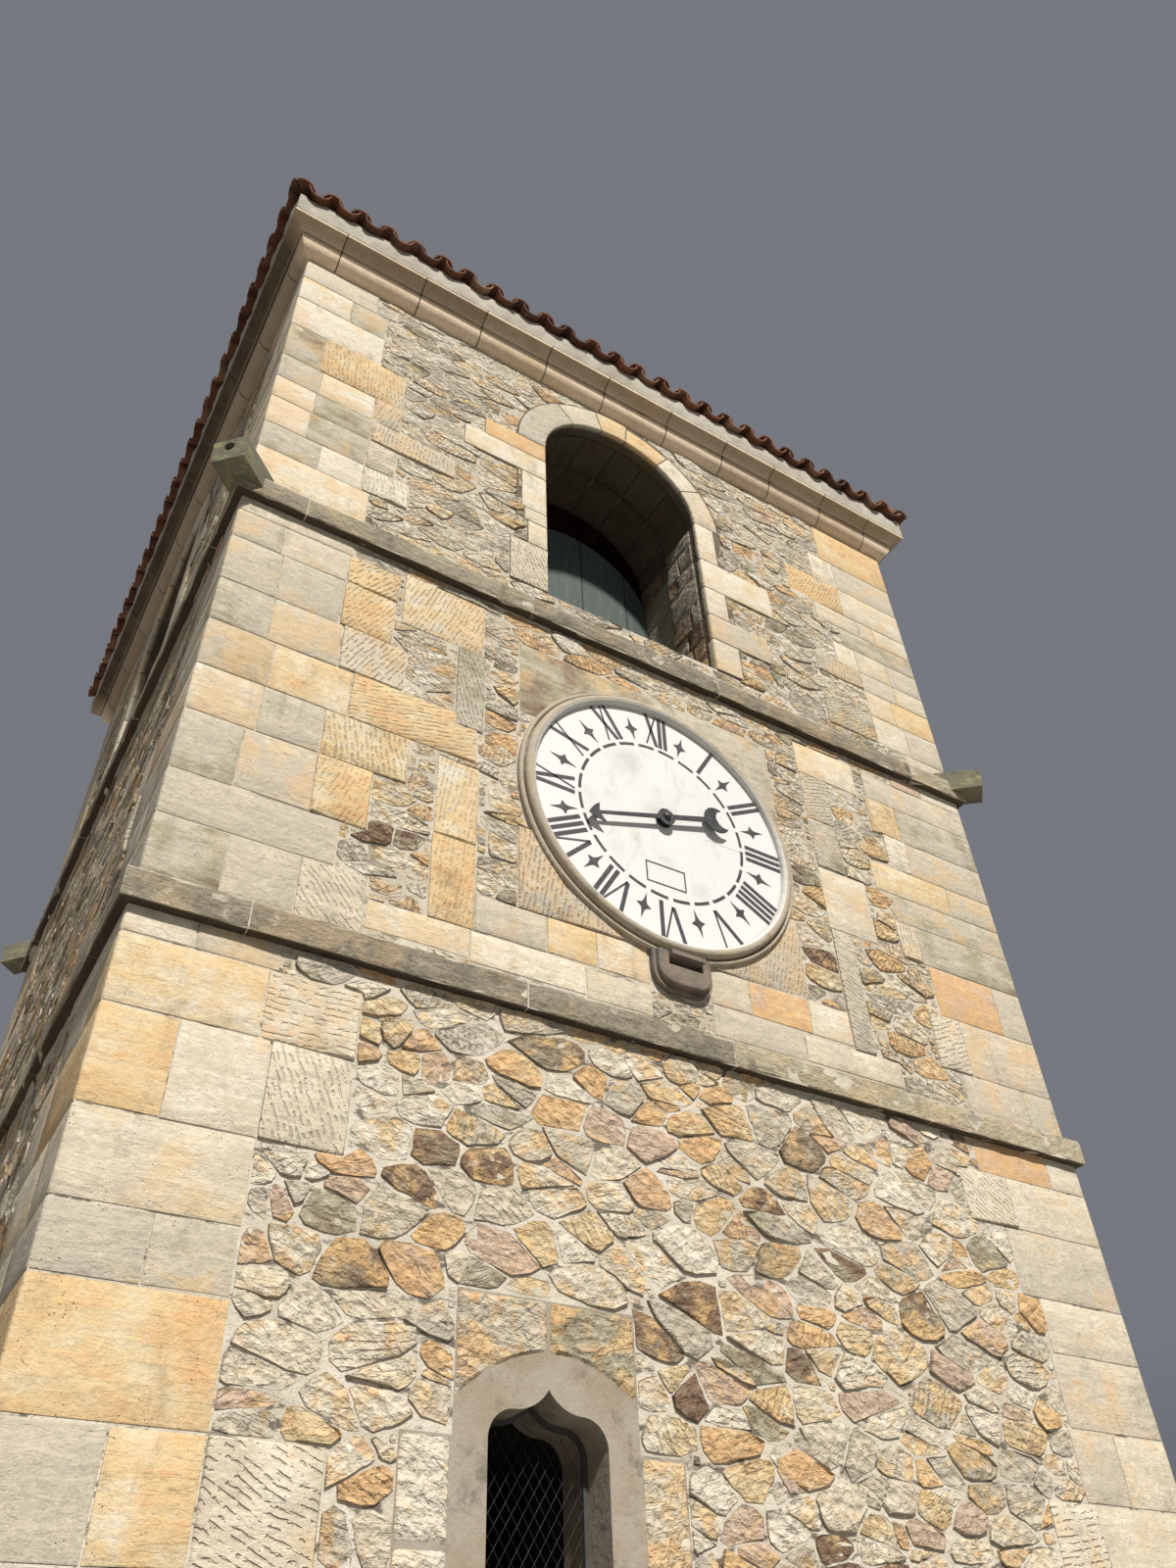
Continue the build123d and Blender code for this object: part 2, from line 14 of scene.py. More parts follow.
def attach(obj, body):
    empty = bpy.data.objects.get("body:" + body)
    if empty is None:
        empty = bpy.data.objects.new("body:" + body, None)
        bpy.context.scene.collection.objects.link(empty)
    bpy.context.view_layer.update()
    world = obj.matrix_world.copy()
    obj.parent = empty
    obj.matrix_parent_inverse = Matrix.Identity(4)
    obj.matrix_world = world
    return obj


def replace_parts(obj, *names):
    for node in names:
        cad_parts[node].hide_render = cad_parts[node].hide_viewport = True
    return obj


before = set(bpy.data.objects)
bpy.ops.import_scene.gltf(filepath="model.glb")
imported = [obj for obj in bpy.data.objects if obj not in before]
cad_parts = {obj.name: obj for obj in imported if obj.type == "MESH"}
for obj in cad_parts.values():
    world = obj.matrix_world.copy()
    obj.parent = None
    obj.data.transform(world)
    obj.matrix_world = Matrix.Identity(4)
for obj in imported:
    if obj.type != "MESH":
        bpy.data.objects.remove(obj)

Colour = tuple[float, float, float]
Pair = tuple[float, float]
Stops = tuple[tuple[float, Colour], ...]
Array = np.ndarray
Random = np.random.Generator
Material = bpy.types.Material

log = logging.getLogger("clock_tower")

# Distances of the walls' faces from the tower's axis, stage by stage, in metres
LOWER_HALF, MIDDLE_HALF, BELFRY_HALF = 3.017, 3.008, 3.0

# Heights of the string courses and of the cornice's foot
LOWER_STRING_FOOT, LOWER_STRING_TOP = 4.750, 4.928
UPPER_STRING_FOOT, UPPER_STRING_TOP = 7.849, 8.043
CORNICE_FOOT = 11.108

# The dial's middle on the front
DIAL_X, DIAL_Z = -0.045, 6.41


# Shader building


class Signal:
    """An output socket of a shader that arithmetic can be written with."""

    def __init__(self, graph: "Graph", socket: bpy.types.NodeSocket) -> None:
        """Keeps the graph and the socket that it wraps."""
        self.graph = graph
        self.socket = socket

    def __add__(self, other: "Signal | float") -> "Signal":
        """Sum of two values."""
        return self.graph.math("ADD", self, other)

    __radd__ = __add__

    def __sub__(self, other: "Signal | float") -> "Signal":
        """Difference of two values."""
        return self.graph.math("SUBTRACT", self, other)

    def __rsub__(self, other: float) -> "Signal":
        """Difference from a plain number."""
        return self.graph.math("SUBTRACT", other, self)

    def __mul__(self, other: "Signal | float") -> "Signal":
        """Product of two values."""
        return self.graph.math("MULTIPLY", self, other)

    __rmul__ = __mul__

    def __truediv__(self, other: "Signal | float") -> "Signal":
        """Quotient of two values."""
        return self.graph.math("DIVIDE", self, other)

    def step(self, low: float, high: float) -> "Signal":
        """Smooth rise from 0 at low to 1 at high.

        Args:
            low: value that gives 0.
            high: value that gives 1; it may be below low for a fall.

        Returns:
            The risen value.
        """
        settings = {"interpolation_type": "SMOOTHSTEP"}
        values = {"Value": self, "From Min": low, "From Max": high}
        if low > high:
            values = {"Value": self, "From Min": high, "From Max": low, "To Min": 1.0, "To Max": 0.0}
        return Signal(self.graph, self.graph.node("MapRange", settings, values).outputs[0])


class Graph:
    """Builds the node tree of one material around a Principled shader."""

    def __init__(self, name: str) -> None:
        """Makes an empty material with its shader and output.

        Args:
            name: the material's name.
        """
        self.material = bpy.data.materials.new(name)
        self.material.use_nodes = True
        self.tree = self.material.node_tree
        self.tree.nodes.clear()
        self.shader = self.node("BsdfPrincipled")
        self.node("OutputMaterial", {}, {"Surface": Signal(self, self.shader.outputs[0])})

    def node(self, kind: str, settings: dict | None = None, values: dict | None = None) -> bpy.types.Node:
        """Adds one node, sets its settings first and then fills its sockets.

        Args:
            kind: node type without its ShaderNode prefix.
            settings: attributes by name; stops gives a ramp's (position, colour) pairs.
            values: sockets by name or number, each a number, a tuple or a Signal.

        Returns:
            The node.
        """
        made = self.tree.nodes.new("ShaderNode" + kind)
        for key, value in (settings or {}).items():
            if key == "stops":
                self._fill_ramp(made.color_ramp, value)
            else:
                setattr(made, key, value)
        for key, value in (values or {}).items():
            self.put(made.inputs[key], value)
        return made

    @staticmethod
    def _fill_ramp(ramp: bpy.types.ColorRamp, stops: Stops) -> None:
        """Puts (position, colour) pairs on a ramp in place of its first two.

        Args:
            ramp: the ramp.
            stops: its (position, colour) pairs.
        """
        while len(ramp.elements) < len(stops):
            ramp.elements.new(1.0)
        for element, (position, colour) in zip(ramp.elements, stops):
            element.position = position
            element.color = (*colour, 1.0)

    def put(self, socket: bpy.types.NodeSocket, value: "Signal | float | tuple") -> None:
        """Links a Signal to a socket or sets the socket's own value.

        Args:
            socket: what is fed.
            value: what feeds it.
        """
        if isinstance(value, Signal):
            self.tree.links.new(value.socket, socket)
        elif isinstance(value, tuple) and socket.type == "RGBA":
            socket.default_value = (*value[:3], 1.0)
        else:
            socket.default_value = value

    def math(self, operation: str, *terms: "Signal | float") -> Signal:
        """One Math node on its terms."""
        return Signal(self, self.node("Math", {"operation": operation}, dict(enumerate(terms))).outputs[0])

    def vector(self, operation: str, *terms: "Signal | tuple") -> Signal:
        """One Vector Math node on its terms."""
        made = self.node("VectorMath", {"operation": operation}, dict(enumerate(terms)))
        return Signal(self, made.outputs[0])

    def place(self) -> Signal:
        """Object coordinates in metres."""
        return Signal(self, self.node("TexCoord").outputs["Object"])

    def parts(self, vector: Signal) -> tuple[Signal, Signal, Signal]:
        """The three numbers of a vector."""
        made = self.node("SeparateXYZ", {}, {0: vector})
        return tuple(Signal(self, made.outputs[k]) for k in range(3))

    def join(self, x: "Signal | float", y: "Signal | float", z: "Signal | float") -> Signal:
        """A vector of three numbers."""
        return Signal(self, self.node("CombineXYZ", {}, {0: x, 1: y, 2: z}).outputs[0])

    def mark(self, name: str) -> Signal:
        """A per-point number that the mesh carries."""
        settings = {"attribute_type": "GEOMETRY", "attribute_name": name}
        return Signal(self, self.node("Attribute", settings).outputs["Fac"])

    def noise(self, at: Signal, scale: float, detail: float = 3.0, rough: float = 0.5,
              twist: float = 0.0) -> Signal:
        """Cloudy noise from 0 to 1.

        Args:
            at: coordinates.
            scale: spots per metre.
            detail: octaves.
            rough: weight of the finer octaves.
            twist: distortion.

        Returns:
            The noise's value.
        """
        values = {"Vector": at, "Scale": scale, "Detail": detail, "Roughness": rough, "Distortion": twist}
        return Signal(self, self.node("TexNoise", {}, values).outputs[0])

    def cells(self, at: Signal, scale: float) -> Signal:
        """Distance to the nearest of scattered points, scale of them to the metre."""
        return Signal(self, self.node("TexVoronoi", {}, {"Vector": at, "Scale": scale}).outputs["Distance"])

    def ramp(self, value: Signal, stops: Stops) -> Signal:
        """A colour read from a ramp of (position, colour) stops."""
        return Signal(self, self.node("ValToRGB", {"stops": stops}, {0: value}).outputs[0])

    def mix(self, first: "Signal | tuple", second: "Signal | tuple", share: "Signal | float",
            mode: str = "MIX") -> Signal:
        """Mixes two colours.

        Args:
            first: colour at share 0.
            second: colour at share 1.
            share: how much of the second shows.
            mode: the Mix node's blend type.

        Returns:
            The mixed colour.
        """
        settings = {"data_type": "RGBA", "blend_type": mode, "clamp_factor": True}
        return Signal(self, self.node("Mix", settings, {0: share, 6: first, 7: second}).outputs[2])

    def coats(self, colour: "Signal | tuple", *coats: "tuple[Signal | tuple, Signal]") -> Signal:
        """Lays (colour, share) coats over a colour, one after the other.

        Args:
            colour: what they cover.
            coats: each one's colour and how much of it shows.

        Returns:
            The mixed colour.
        """
        for coat, share in coats:
            colour = self.mix(colour, coat, share)
        return colour

    def shade(self, colour: Signal, light: Signal) -> Signal:
        """A colour made lighter or darker by a factor."""
        return self.mix(colour, self.join(light, light, light), 1.0, "MULTIPLY")

    def bump(self, height: Signal) -> Signal:
        """A normal from a height in metres."""
        values = {"Height": height, "Distance": 1.0, "Strength": 1.0}
        return Signal(self, self.node("Bump", {}, values).outputs[0])

    def finish(self, colour: "Signal | tuple", rough: "Signal | float", normal: Signal | None = None,
               **constants: float) -> Material:
        """Feeds the shader and returns the material.

        Args:
            colour: base colour.
            rough: roughness.
            normal: a bumped normal.
            constants: fixed values of other sockets, with _ for a space in their names.

        Returns:
            The finished material.
        """
        self.put(self.shader.inputs["Base Color"], colour)
        self.put(self.shader.inputs["Roughness"], rough)
        if normal is not None:
            self.put(self.shader.inputs["Normal"], normal)
        for key, value in constants.items():
            self.put(self.shader.inputs[key.replace("_", " ")], value)
        return self.material


# Finishes


# One letter stands for a stone's colour; a capital means that its face is tooled.
TONES = {"d": 0.0, "m": 0.12, "g": 0.17, "b": 0.30, "c": 0.43, "w": 0.56, "o": 0.70, "r": 0.83, "p": 0.96}

STONE_STOPS = (
    (0.0, (0.200, 0.130, 0.088)),
    (0.12, (0.375, 0.345, 0.245)),
    (0.17, (0.470, 0.430, 0.350)),
    (0.30, (0.500, 0.450, 0.360)),
    (0.43, (0.595, 0.530, 0.410)),
    (0.56, (0.680, 0.630, 0.525)),
    (0.70, (0.620, 0.495, 0.300)),
    (0.83, (0.620, 0.395, 0.200)),
    (0.96, (0.520, 0.395, 0.300)),
)
COURSE_STOPS = (
    (0.0, (0.150, 0.125, 0.090)), (0.17, (0.250, 0.225, 0.175)), (0.30, (0.330, 0.295, 0.215)),
    (0.43, (0.430, 0.380, 0.270)), (0.56, (0.480, 0.440, 0.350)),
)
MOULDED_STOPS = ((0.17, (0.560, 0.450, 0.330)), (0.30, (0.700, 0.560, 0.410)), (0.43, (0.820, 0.660, 0.490)))


@dataclass(frozen=True)
class StoneFinish:
    """Weathered sandstone whose colour family comes from each stone's tone mark.

    Attributes:
        name: the material's name.
        stops: colours by tone.
        variety: how far a stone's colour strays from its own tone.
        grain: height of the fine grain in metres.
        lumps: height of the lumps in metres.
        chips: share of that height in sharp facets.
        cracks: strength of long cracks.
        bedding: how far the layers of a stone may lean, in radians.
        rim: how dark the painted shade round the rims of its stones is, where they sink into the joints.
        strokes: height of the mason's tool strokes in metres.
        stain: strength of iron stains.
        patches: iron stains per metre.
        soot: strength of dark weathering.
        lichen: strength of pale green growth.
    """

    name: str
    stops: Stops = STONE_STOPS
    variety: float = 0.34
    grain: float = 0.0022
    lumps: float = 0.022
    chips: float = 0.65
    cracks: float = 0.55
    bedding: float = 1.1
    rim: float = 0.55
    strokes: float = 0.008
    stain: float = 0.6
    patches: float = 3.2
    soot: float = 0.5
    lichen: float = 0.15

    def make(self) -> Material:
        """Colour = tone ramp, veined, stained and sooted, with painted shade in its hollows, cracks, pits,
        tool strokes and rims and where the shade mark asks; height = grain + lumps + tool strokes.

        Returns:
            The material.
        """
        g = Graph(self.name)
        at, tone, core = g.place(), g.mark("tone"), g.mark("core")
        spin, tooled = g.mark("spin"), g.mark("tooled")
        own = g.vector("ADD", at, g.join(spin * 41.0, spin * 23.0, spin * 67.0))
        x, y, z = g.parts(at)
        across = x + y
        cloud = g.noise(own, 4.5, 4.0, 0.6)
        lump = g.noise(own, 24.0, 5.0, 0.66)
        speck = g.noise(own, 95.0, 4.0, 0.75)
        lean = (g.math("FRACT", spin * 7.3) - 0.5) * self.bedding
        bed_u = across * g.math("COSINE", lean) + z * g.math("SINE", lean)
        bed_v = z * g.math("COSINE", lean) - across * g.math("SINE", lean)
        vein = g.noise(g.join(bed_u * 3.6, bed_v * 20.0, spin * 40.0), 1.0, 5.0, 0.64, 0.6)
        fissure = g.noise(g.join(bed_u * 4.0, bed_v * 19.0, spin * 20.0), 1.0, 2.0, 0.55)
        crease = g.math("ABSOLUTE", fissure - 0.5)
        crag = g.math("ABSOLUTE", g.noise(own, 12.0, 3.0, 0.55, 0.4) - 0.5)
        turn = spin * 3.1
        along = across * g.math("COSINE", turn) + z * g.math("SINE", turn) + cloud * 0.05
        cross = z * g.math("COSINE", turn) - across * g.math("SINE", turn)
        ripple = g.math("SINE", along * 205.0 + g.noise(own, 3.5, 1.0) * 6.0)
        broken = g.noise(g.join(along * 33.0, cross * 21.0, spin * 50.0), 1.0, 2.0, 0.6).step(0.45, 0.56)
        stroke = ripple.step(-0.1, 0.9) * broken * tooled
        blend = tone + (cloud - 0.5) * self.variety + (vein - 0.5) * self.variety * 0.5
        # Brightness follows the same lumps, veins and specks that make the bump: painted shade in the hollows
        # of the face.
        colour = g.shade(g.ramp(blend, self.stops), 0.58 + lump * 0.50 + vein * 0.24 + (speck - 0.5) * 0.60)
        patch = g.noise(g.vector("ADD", own, g.join(7.0, 3.0, 5.0)), self.patches, 5.0, 0.66, 0.6)
        rust = (patch + (spin - 0.5) * 0.20).step(0.50, 0.66) * self.stain
        pits = g.cells(own, 55.0).step(0.20, 0.06) * g.noise(own, 9.0, 2.0).step(0.52, 0.66)
        runs = g.noise(g.vector("MULTIPLY", at, (9.0, 9.0, 0.9)), 1.0, 5.0, 0.7)
        black = (g.noise(at, 3.4, 6.0, 0.74) * 0.6 + runs * 0.4).step(0.53, 0.66) * self.soot
        crack = crease.step(0.026, 0.0) * cloud.step(0.42, 0.56) * self.cracks
        patchy = 0.45 + g.noise(at, 7.0, 2.0).step(0.40, 0.58) * 0.55
        colour = g.coats(
            colour,
            (g.mix((0.62, 0.43, 0.21), (0.60, 0.31, 0.13), vein.step(0.5, 0.7)), rust * 0.8),
            ((0.66, 0.63, 0.54), g.noise(own, 13.0, 5.0, 0.7).step(0.58, 0.70) * 0.45),
            ((0.40, 0.40, 0.24), g.noise(at, 9.0, 5.0, 0.72).step(0.60, 0.72) * self.lichen),
            ((0.125, 0.108, 0.088), black * 0.62),
            # Painted shade along the cracks, which are also grooved in the bump.
            ((0.10, 0.078, 0.055), crack * 0.75),
            # Painted shade round each stone's rim, where it sinks into the joint.
            ((0.085, 0.065, 0.048), core.step(0.80, 0.05) * patchy * self.rim),
            # Painted shade from the per-point shade mark: undersides, shaded sides, returns into the
            # openings, reveals and the vault.
            ((0.046, 0.033, 0.022), g.mark("dirt") * (0.85 + cloud * 0.25)),
            # Painted shade in the pits.
            ((0.09, 0.07, 0.05), pits * 0.7),
            # Painted shade in the tool strokes' furrows.
            ((0.22, 0.17, 0.12), stroke * 0.32),
        )
        facet = g.cells(g.vector("ADD", own, g.join(lump * 0.05, lump * 0.05, lump * 0.05)), 21.0)
        height = speck * self.grain * 2.0 + lump * self.lumps + facet * self.lumps * self.chips
        height = height + crag * self.lumps * 1.6 + vein * self.lumps * 0.9 - crack * 0.006
        height = height - stroke * self.strokes - pits * 0.005
        return g.finish(colour, 0.80 + speck * 0.15, g.bump(height), Specular_IOR_Level=0.2)


@dataclass(frozen=True)
class MortarFinish:
    """Sandy lime mortar with grit and hairline shrinkage.

    Attributes:
        name: the material's name.
        pale: colour of clean mortar.
        dull: colour of weathered mortar.
        dirt: strength of the painted shade in dark hollows of the mortar.
        inside: distances from the axis between which painted shade darkens it inside the walls.
    """

    name: str
    pale: Colour
    dull: Colour
    dirt: float = 0.4
    inside: Pair = (2.60, 2.35)

    def make(self) -> Material:
        """Colour = pale to dull by clouds, with grit, painted shade in hollows and painted shade inside the
        tower; height = grit + lumps.

        Returns:
            The material.
        """
        g = Graph(self.name)
        at = g.place()
        cloud = g.noise(at, 2.7, 5.0, 0.65)
        grit = g.noise(at, 240.0, 2.0, 0.7)
        stones = g.cells(at, 95.0).step(0.35, 0.12)
        hollow = g.noise(g.vector("MULTIPLY", at, (5.0, 5.0, 13.0)), 1.0, 4.0, 0.65, 0.4).step(0.53, 0.62)
        x, y, _ = g.parts(at)
        off = g.math("MAXIMUM", g.math("ABSOLUTE", x), g.math("ABSOLUTE", y))
        colour = g.coats(
            self.pale,
            (self.dull, cloud.step(0.35, 0.68)),
            ((0.60, 0.55, 0.46), stones * 0.4),
            # Painted shade in hollows.
            ((0.050, 0.040, 0.030), hollow * self.dirt),
            ((0.16, 0.13, 0.10), grit.step(0.52, 0.7) * 0.35),
            # Painted shade inside the tower.
            ((0.030, 0.026, 0.022), off.step(*self.inside)),
        )
        height = grit * 0.0016 + stones * 0.0018 + g.noise(at, 30.0, 4.0) * 0.007
        return g.finish(colour, 0.92, g.bump(height), Specular_IOR_Level=0.2)


@dataclass(frozen=True)
class PlainStoneFinish:
    """Dressed stone on a CAD solid, which carries no marks.

    Attributes:
        name: the material's name.
        base: colour of the clean stone.
        warm: colour of its warmer patches.
        green: strength of lichen on what faces up or is damp.
        damp: strength of dark damp patches.
        paint: distance from the dial's axis within which white paint covers it, or 0.
    """

    name: str
    base: Colour
    warm: Colour
    green: float = 0.3
    damp: float = 0.3
    paint: float = 0.0

    def make(self) -> Material:
        """Colour = base to warm by clouds, with lichen, damp and painted shade in pits; height = grain +
        lumps.

        Returns:
            The material.
        """
        g = Graph(self.name)
        at = g.place()
        cloud = g.noise(at, 4.0, 5.0, 0.62)
        speck = g.noise(at, 150.0, 3.0, 0.7)
        band = g.noise(g.vector("MULTIPLY", at, (1.0, 1.0, 3.0)), 6.0, 6.0, 0.72)
        pits = g.cells(at, 70.0).step(0.20, 0.05) * g.noise(at, 10.0).step(0.5, 0.62)
        colour = g.coats(
            g.shade(g.mix(self.base, self.warm, cloud.step(0.40, 0.66)), 0.72 + speck * 0.5),
            ((0.40, 0.42, 0.17), band.step(0.50, 0.64) * self.green),
            ((0.10, 0.09, 0.075), g.noise(at, 5.5, 6.0, 0.7).step(0.50, 0.68) * self.damp),
            # Painted shade in the pits.
            ((0.10, 0.08, 0.06), pits * 0.5),
        )
        if self.paint:
            x, _, z = g.parts(at)
            across, up = x - DIAL_X, z - DIAL_Z
            far = g.math("SQRT", across * across + up * up) + (cloud - 0.5) * 0.010
            colour = g.mix(colour, (0.56, 0.55, 0.52), far.step(self.paint + 0.003, self.paint - 0.003))
        height = speck * 0.0016 + g.noise(at, 26.0, 4.0) * 0.005 - pits * 0.003
        return g.finish(colour, 0.86, g.bump(height), Specular_IOR_Level=0.3)


@dataclass(frozen=True)
class TileFinish:
    """Fired clay barrel tile with lichen and soot; each tile has its own tone.

    Attributes:
        name: the material's name.
    """

    name: str = "fired_clay"

    def make(self) -> Material:
        """Colour = clay ramp by tone, mottled, with lichen; height = fine clay grain.

        Returns:
            The material.
        """
        g = Graph(self.name)
        at, tone = g.place(), g.mark("tone")
        own = g.vector("ADD", at, g.join(tone * 31.0, tone * 17.0, 0.0))
        stops = ((0.0, (0.115, 0.042, 0.024)), (0.35, (0.175, 0.066, 0.036)), (0.7, (0.235, 0.098, 0.055)),
                 (1.0, (0.300, 0.170, 0.105)))
        mottle = g.noise(own, 14.0, 5.0, 0.7)
        colour = g.coats(
            g.shade(g.ramp(tone, stops), 0.55 + mottle * 0.85),
            ((0.075, 0.062, 0.052), g.noise(at, 5.0, 6.0, 0.75).step(0.46, 0.66) * 0.75),
            ((0.42, 0.40, 0.29), g.noise(at, 26.0, 4.0, 0.7).step(0.60, 0.70) * 0.55),
        )
        height = g.noise(own, 120.0, 3.0) * 0.0012 + mottle * 0.004
        return g.finish(colour, 0.85, g.bump(height), Specular_IOR_Level=0.3)


@dataclass(frozen=True)
class EnamelFinish:
    """White dial paint, faintly streaked in the middle, with a hairline joint in the slab.

    Attributes:
        name: the material's name.
    """

    name: str = "dial_white"

    def make(self) -> Material:
        """Colour = white with grey-beige streaks that fade outwards; height = brushed paint.

        Returns:
            The material.
        """
        g = Graph(self.name)
        at = g.place()
        x, _, z = g.parts(at)
        across, up = x - DIAL_X, z - DIAL_Z
        radius = g.math("SQRT", across * across + up * up)
        streak = g.noise(g.vector("MULTIPLY", at, (1.0, 1.0, 0.45)), 9.0, 6.0, 0.72, 0.8)
        inner = radius.step(0.66, 0.50)
        seam = g.math("ABSOLUTE", up + 0.035 - across * 0.01).step(0.0045, 0.001) * across.step(0.30, 0.36)
        colour = g.coats(
            (0.655, 0.66, 0.66),
            ((0.45, 0.43, 0.39), streak.step(0.52, 0.76) * inner * 0.75),
            ((0.40, 0.385, 0.35), g.noise(at, 3.0, 4.0).step(0.50, 0.75) * inner * 0.5),
            ((0.28, 0.26, 0.23), g.noise(at, 60.0, 3.0, 0.7).step(0.66, 0.74) * 0.5),
            # Greyer in a band next to the stone ring.
            ((0.36, 0.345, 0.31), radius.step(0.905, 0.936) * 0.4),
            ((0.30, 0.29, 0.26), seam * 0.55),
        )
        height = g.noise(at, 90.0, 3.0) * 0.0006 + streak * 0.0012 - seam * 0.002
        return g.finish(colour, 0.55, g.bump(height), Specular_IOR_Level=0.4)


@dataclass(frozen=True)
class IronFinish:
    """Painted wrought iron, dark, worn dull with a little rust.

    Attributes:
        name: the material's name.
        base: paint colour.
        rust: strength of rust.
        rough: mean roughness.
    """

    name: str
    base: Colour = (0.030, 0.031, 0.034)
    rust: float = 0.35
    rough: float = 0.55

    def make(self) -> Material:
        """Colour = paint, dusted pale and rusted by clouds; height = hammered lumps and grain.

        Returns:
            The material.
        """
        g = Graph(self.name)
        at = g.place()
        cloud = g.noise(at, 22.0, 5.0, 0.7)
        colour = g.mix(self.base, (0.085, 0.085, 0.088), cloud.step(0.42, 0.7) * 0.7)
        colour = g.mix(colour, (0.16, 0.062, 0.024), g.noise(at, 38.0, 5.0, 0.72).step(0.58, 0.7) * self.rust)
        height = g.noise(at, 180.0, 3.0) * 0.0005 + cloud * 0.0012
        rough = self.rough + (cloud - 0.5) * 0.25
        return g.finish(colour, rough, g.bump(height), Metallic=0.15, Specular_IOR_Level=0.45)


@dataclass(frozen=True)
class BoardFinish:
    """Painted or bare boards with grain and open seams.

    Attributes:
        name: the material's name.
        paint: colour of the boards.
        worn: colour where the paint has gone.
        width: board width in metres.
        shift: place of one seam in metres.
        level: True for floor boards that lie flat.
    """

    name: str
    paint: Colour
    worn: Colour
    width: float = 0.5
    shift: float = 0.0
    level: bool = False

    def make(self) -> Material:
        """Colour = paint and worn wood by stretched noise, each board with its own shade; seams are dark.

        Returns:
            The material.
        """
        g = Graph(self.name)
        at = g.place()
        x, y, _ = g.parts(at)
        across = x if self.level else x + y
        count = (across - self.shift) / self.width
        board = g.math("FLOOR", count)
        inside = g.math("FRACT", count)
        own = g.vector("ADD", at, g.join(board * 3.7, board * 2.1, board * 5.3))
        stretch = (14.0, 1.0, 14.0) if self.level else (14.0, 14.0, 1.0)
        grain = g.noise(g.vector("MULTIPLY", own, stretch), 2.4, 5.0, 0.65, 0.5)
        fibre = g.noise(g.vector("MULTIPLY", own, tuple(v * 6.0 for v in stretch)), 2.0, 3.0, 0.6)
        colour = g.mix(self.paint, self.worn, grain.step(0.46, 0.70) * 0.7)
        colour = g.shade(colour, 0.35 + g.noise(g.join(board, 0.5, 0.5), 3.1, 0.0) * 1.3)
        half = 0.007 / self.width
        seam = g.math("ABSOLUTE", inside - 0.5).step(0.5 - half, 0.5 - half * 0.3)
        colour = g.mix(colour, (0.012, 0.011, 0.010), seam * 0.9)
        height = grain * 0.0012 + fibre * 0.0008 - seam * 0.006
        return g.finish(colour, 0.72, g.bump(height), Specular_IOR_Level=0.3)


# Mesh building


# Edges sharper than this many degrees stay sharp
CREASE = 32.0


@dataclass
class Shell:
    """Gathers the points, faces and per-point marks of one piece.

    Attributes:
        name: the piece's name.
        points: arrays of points in metres.
        faces: arrays of point numbers, four or three to a row.
        marks: per-point numbers by name.
        count: points so far.
    """

    name: str
    points: list[Array] = field(default_factory=list)
    faces: list[Array] = field(default_factory=list)
    marks: dict[str, list[Array]] = field(default_factory=dict)
    count: int = 0

    def add(self, points: Array, faces: Sequence[Array], **marks: "Array | float") -> None:
        """Adds one patch.

        Args:
            points: places, in any leading shape, with three numbers each.
            faces: arrays of point numbers that count from this patch's first point.
            marks: numbers for every point, or one number for all.
        """
        flat = points.reshape(-1, 3)
        self.points.append(flat)
        self.faces += [rows + self.count for rows in faces]
        for key, value in marks.items():
            spread = np.broadcast_to(np.asarray(value, float), points.shape[:-1]).reshape(-1)
            self.marks.setdefault(key, []).append(spread)
        self.count += len(flat)

    def make(self, material: Material, slot: str) -> bpy.types.Object:
        """Turns what was gathered into an object that rides on the tower.

        Args:
            material: its finish.
            slot: the record's material slot; not used.

        Returns:
            The new object.
        """
        places = np.concatenate(self.points).astype(np.float32)
        corners = np.concatenate([rows.ravel() for rows in self.faces]).astype(np.int32)
        sizes = np.concatenate([np.full(len(rows), rows.shape[1]) for rows in self.faces])
        starts = np.concatenate(([0], np.cumsum(sizes)[:-1])).astype(np.int32)
        mesh = bpy.data.meshes.new(self.name)
        mesh.vertices.add(len(places))
        mesh.vertices.foreach_set("co", places.ravel())
        mesh.loops.add(len(corners))
        mesh.loops.foreach_set("vertex_index", corners)
        mesh.polygons.add(len(sizes))
        mesh.polygons.foreach_set("loop_start", starts)
        mesh.polygons.foreach_set("use_smooth", np.ones(len(sizes), bool))
        mesh.update(calc_edges=True)
        mesh.set_sharp_from_angle(angle=math.radians(CREASE))
        for key, values in self.marks.items():
            layer = mesh.attributes.new(key, "FLOAT", "POINT")
            layer.data.foreach_set("value", np.concatenate(values).astype(np.float32))
        mesh.materials.append(material)
        piece = bpy.data.objects.new(self.name, mesh)
        bpy.context.scene.collection.objects.link(piece)
        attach(piece, "tower")
        log.info("%s: %d triangles", self.name, int((sizes - 2).sum()))
        return piece


def quads(rows: int, columns: int, count: int = 1, flip: bool = False, ring: bool = False) -> Array:
    """Faces of grids of rows by columns points, numbered row by row and grid after grid.

    Args:
        rows: points up the grid.
        columns: points across it.
        count: how many such grids follow each other.
        flip: turns the faces over.
        ring: joins the last column to the first.

    Returns:
        Point numbers, four to a face, anticlockwise when columns run right and rows run up.
    """
    across = columns if ring else columns - 1
    i, j = np.meshgrid(np.arange(rows - 1), np.arange(across), indexing="ij")
    k = (j + 1) % columns
    face = np.stack([i * columns + j, i * columns + k, (i + 1) * columns + k, (i + 1) * columns + j], -1)
    face = face.reshape(-1, 4)
    if flip:
        face = face[:, ::-1]
    return (face[None] + (np.arange(count) * rows * columns)[:, None, None]).reshape(-1, 4)


